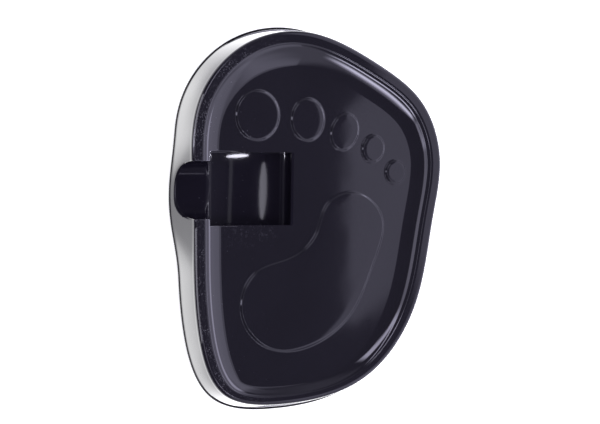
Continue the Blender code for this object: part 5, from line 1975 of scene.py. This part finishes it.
@dataclass
class Contacts:
    """The switch's moving pieces and screws, the jack with its nut, and the leads between them."""

    fitter: Fitter
    plunger: Turned = Turned(
        ((0.0, 0.0099), (0.0014, 0.0099), (0.0014, 0.0142), (0.0, 0.0142)), (0.0001, 0.0006), 48
    )
    striker: Turned = Turned(
        (
            (0.0, 0.0145), (0.0040, 0.0145), (0.0040, 0.0159),
            (0.0014, 0.0159), (0.0014, 0.0187), (0.0, 0.0187),
        ),
        (0.0006, 0.0003, 0.0001, 0.0003),
    )
    screw: Screw = Screw(0.0042)
    small_screw: Screw = Screw(0.0088, 0.0010, 0.0020)
    small_place: Triple = (0.00475, -0.0035, 0.0091)
    jack_half: float = 0.0070
    jack_top: float = 0.0153
    jack_bore: float = 0.0040
    jack_ends: Pair = (0.05365, 0.07365)
    nut_x: float = 0.07775
    nut_half: float = 0.0010
    nut_flat: float = 0.00537
    nut_round: float = 0.0056
    nut_bore: float = 0.00465
    lead_from: Triple = (0.0293, 0.0018, 0.0080)
    lead_to: Pair = (0.04935, 0.0030)
    lead_radius: float = 0.00069

    def socket(self) -> Surface:
        """The jack: a box with round edges, and a nose with its bore and ridges for a thread.

        Returns:
            Both, along X.
        """
        low, high = (JACK[0] - self.jack_half, BASE_TOP + SEAT), (JACK[0] + self.jack_half, self.jack_top)
        box = prism(round_box(low, high, 0.0008), *self.jack_ends, (circle(*JACK, self.jack_bore),))
        x = np.arange(0.0738, 0.0798, 0.00025)
        thread = np.column_stack((0.00449 - 0.00016 * (np.arange(len(x)) % 2), x))
        foot = ((0.0, 0.0551), (0.0042, 0.0551), (0.0042, 0.0736))
        mouth = ((0.0042, 0.08015), (0.0036, 0.08015), (0.0033, 0.0798), (0.0033, 0.0557), (0.0, 0.0557))
        nose = revolved(np.concatenate((foot, thread, mouth)), 72)
        return joined([box.moved(ALONG_X), nose.moved(Matrix.Translation((0.0, *JACK)) @ ALONG_X)])

    def nut(self) -> Surface:
        """The hexagon nut: its reach is the flat over the cosine from the flat, its corners cut by a cone.

        Returns:
            The nut along X.
        """
        turn = round_angles(144)
        reach = self.nut_flat / np.cos(np.mod(turn + math.pi / 6, math.pi / 3) - math.pi / 6)
        half = self.nut_half - np.clip(reach - self.nut_round, 0.0, None) * math.tan(math.radians(30.0))
        face = np.minimum(reach, self.nut_round)
        bore, flat = np.full_like(turn, self.nut_bore), np.full_like(turn, self.nut_half)
        radius = np.stack((bore, face, reach, reach, face, bore, bore))
        height = np.stack((-flat, -flat, -half, half, flat, flat, -flat))
        points = np.stack((radius * np.cos(turn), radius * np.sin(turn), height), axis=2)
        return joined([grid(points, wrap=True)]).moved(Matrix.Translation((self.nut_x, *JACK)) @ ALONG_X)

    def lead(self, way: int) -> Surface:
        """A lead that leaves and arrives along X, as a smooth step, and dips to the base between.

        Args:
            way: the side of the switch, -1 or 1.

        Returns:
            The round lead.
        """
        from_x, from_aside, from_z = self.lead_from
        start = np.array((from_x, SWITCH[1] + way * from_aside, from_z))
        end = np.array((self.lead_to[0], JACK[0] + way * self.lead_to[1], JACK[1]))
        t = np.linspace(0.0, 1.0, 60)[:, None]
        path = start + (end - start) * smooth_step(t, 0.0, 1.0)
        path[:, :1] = start[0] + (end[0] - start[0]) * t
        path[:, 2:] += (BASE_TOP + SEAT + 0.0007 - path[:, 2:]) * np.sin(math.pi * t) ** 2
        return tube(path, self.lead_radius, 20)

    def build(self) -> None:
        """Makes the switch's and jack's pieces."""
        plunger, striker = (shape.at(standing(SWITCH)) for shape in (self.plunger, self.striker))
        self.fitter.add("plunger_pin", plunger, "plunger_plastic", "plunger", "switch_plunger")
        self.fitter.add("striker_stud", striker, "nylon", TREADLE, "striker_button")
        self.fitter.add("jack_body", self.socket(), "switch_plastic", BASE, "jack_socket")
        self.fitter.add("jack_ring", self.nut(), "zinc_steel", BASE, "jack_nut")
        seat = standing(SWITCH_SCREW, BASE_TOP + 2 * SEAT + BRACKET_THICK)
        self.fitter.fix("switch_fixing", self.screw, seat, "switch_bracket_screw")
        aside, back, height = self.small_place
        for number, way in ((1, -1), (2, 1)):
            self.fitter.add(f"lead_{number}", self.lead(way), "wire_cover", BASE, f"lead_wire_{number}")
            place = Matrix.Translation((SWITCH[0] + way * aside, SWITCH[1] + back, height))
            place = place @ Matrix.Rotation(math.pi / 2, 4, "X")
            self.fitter.fix(f"switch_pin_{number}", self.small_screw, place, f"switch_screw_{number}")


@dataclass
class Treadle:
    """The tray, cut for the jack, and what is moulded on its underside."""

    fitter: Fitter
    tray: Tray = field(default_factory=Tray)
    notch_half: float = 0.0080
    notch_top: float = 0.0221
    notch_spring: float = 0.0010
    sunk: float = 0.00125
    lug_half: float = 0.0030
    lug_bore: float = 0.00355
    seat_thick: float = 0.0012
    spigot_long: float = 0.0018
    seat_radius: float = 0.0080
    boss: Triple = (0.0017, 0.0050, 0.0162)
    ribs: tuple[Triple, ...] = ((-0.0020, -0.0780, 0.0780), (0.0300, -0.0600, 0.0480))
    rib_half: float = 0.0010
    rib_deep: float = 0.00525
    heel_rib: Pairs = ((-0.0330, -0.1085), (-0.0070, -0.1045))
    heel_rib_low: float = 0.0082
    heel_rib_more: float = 0.0009
    # Painted shade: boxes and heights that pick the pocket's and channel's faces for the copy of the gloss
    # that reflects less.
    painted_shade_pocket: Quad = (-0.0715, -0.0146, -0.0046, 0.0402)
    painted_shade_channel: Quad = (-0.0960, -0.0715, 0.0005, 0.0335)
    painted_shade_above: float = 0.0005
    painted_shade_top: float = 0.0262
    mouth_x: float = -0.0880

    def notch(self) -> Surface:
        """The arched cutter for the jack: a half ellipse on straight sides, carried along x.

        Returns:
            A closed surface to cut with.
        """
        turn = np.linspace(0.0, math.pi, 33)
        spring = JACK[1] + self.notch_spring
        y = JACK[0] + self.notch_half * np.cos(turn)
        z = spring + (self.notch_top - spring) * np.sin(turn)
        section = np.concatenate((np.stack((y, z), axis=1), ((y[-1], -0.01), (y[0], -0.01))))
        return prism(section, PANEL_X, 0.12).moved(ALONG_X)

    def inside(self, y: float) -> float:
        """A height within the floor's wall."""
        return float(self.tray.floor_z(np.float64(y))) - self.sunk

    def lug(self, x: float) -> Surface:
        """An ear round the hinge, a half circle on straight sides, with the bush's bore.

        Args:
            x: its middle.

        Returns:
            The ear.
        """
        foot = around(*HINGE[1:], EAR, np.linspace(math.pi, 2 * math.pi, 33))
        top = self.inside(HINGE[1])
        section = np.concatenate((foot, ((HINGE[1] + EAR, top), (HINGE[1] - EAR, top))))
        bore = circle(*HINGE[1:], self.lug_bore)
        return prism(section, x - self.lug_half, x + self.lug_half, (bore,)).moved(ALONG_X)

    def post(self, x: float, y: float, corners: Pairs) -> Surface:
        """A round post from corners up to the floor's wall."""
        return Turned(corners, (0.0002,) * (len(corners) - 2), 56).at(standing((x, y)))

    def fittings(self) -> Surface:
        """The lugs, spring seats with spigots, striker's boss, ribs and heel rib.

        Returns:
            All of them in one, each sunk into the floor's wall.
        """
        shapes = [self.lug(HINGE[0] + out * LUG_OUT) for out in (-1, 1)]
        for x, y in SPRINGS:
            top = self.inside(y)
            seat = top + self.sunk - self.tray.wall - self.seat_thick
            low = seat - self.spigot_long
            spigot = ((0.0, low), (0.0039, low), (0.0041, seat))
            plate = ((self.seat_radius, seat), (self.seat_radius, top), (0.0, top))
            shapes.append(self.post(x, y, (*spigot, *plate)))
        top = self.inside(SWITCH[1])
        bore, outer, low = self.boss
        ring = ((bore, low), (outer, low), (outer, top), (bore, top), (bore, low))
        shapes.append(self.post(*SWITCH, ring))
        for x, first, last in self.ribs:
            start, end = self.inside(first), self.inside(last)
            lower = ((first, start - self.rib_deep), (last, end - self.rib_deep))
            section = np.array((*lower, (last, end), (first, start)))
            shapes.append(prism(section, x - self.rib_half, x + self.rib_half).moved(ALONG_X))
        back, front = self.heel_rib
        top = self.inside((back[1] + front[1]) / 2) + self.heel_rib_more
        shapes.append(prism(round_box(back, front, 0.0010), self.heel_rib_low, top))
        return joined(shapes)

    def painted_shade_faces(self, mesh: bpy.types.Mesh) -> Array:
        """Which faces lie in the pocket or its channel, which get the painted shade: a copy of the gloss that
        reflects a tenth as much and is rougher.

        Args:
            mesh: the tray's.

        Returns:
            One answer for each face; the channel's mouth, seen from outside, stays glossy.
        """
        middle, normal = np.empty((2, len(mesh.polygons), 3), np.float32)
        mesh.polygons.foreach_get("center", middle.ravel())
        mesh.polygons.foreach_get("normal", normal.ravel())
        x, y, z = middle.T
        pocket, channel = (
            (x > left) & (x <= right) & (y > low) & (y < high)
            for left, right, low, high in (self.painted_shade_pocket, self.painted_shade_channel)
        )
        pocket &= z < self.tray.floor_z(y) + self.painted_shade_above
        channel &= (z < self.painted_shade_top) & ((normal[:, 0] > -0.8) | (x > self.mouth_x))
        return pocket | channel

    def build(self) -> None:
        """Makes the tray and its fittings."""
        obj = shown("tray_shell", joined([self.tray.skin(Face.UPPER), self.tray.skin(Face.LOWER)]))
        carved(obj, shown("notch", self.notch()))
        self.fitter.dress(obj, "tray_plastic", TREADLE, "foot_tray")
        # Painted shade: the pocket's and channel's faces get the copy of the gloss that reflects less.
        obj.data.materials.append(self.fitter.paint.gloss(Glosses.RECESS.value))
        obj.data.polygons.foreach_set("material_index", self.painted_shade_faces(obj.data).astype(np.int32))
        self.fitter.add("tray_fittings", self.fittings(), "tray_plastic", TREADLE)


def main() -> None:
    """Builds the pieces and the picture."""
    logging.basicConfig(level=logging.INFO, format="%(message)s")
    fitter = Fitter()
    treadle = Treadle(fitter)
    treadle.build()
    Base(fitter, treadle.tray.outline).build()
    Hinge(fitter).build()
    Springs(fitter).build()
    Contacts(fitter).build()
    fitter.paint.solids()
    Studio().build()


if __name__ == "__main__":
    main()
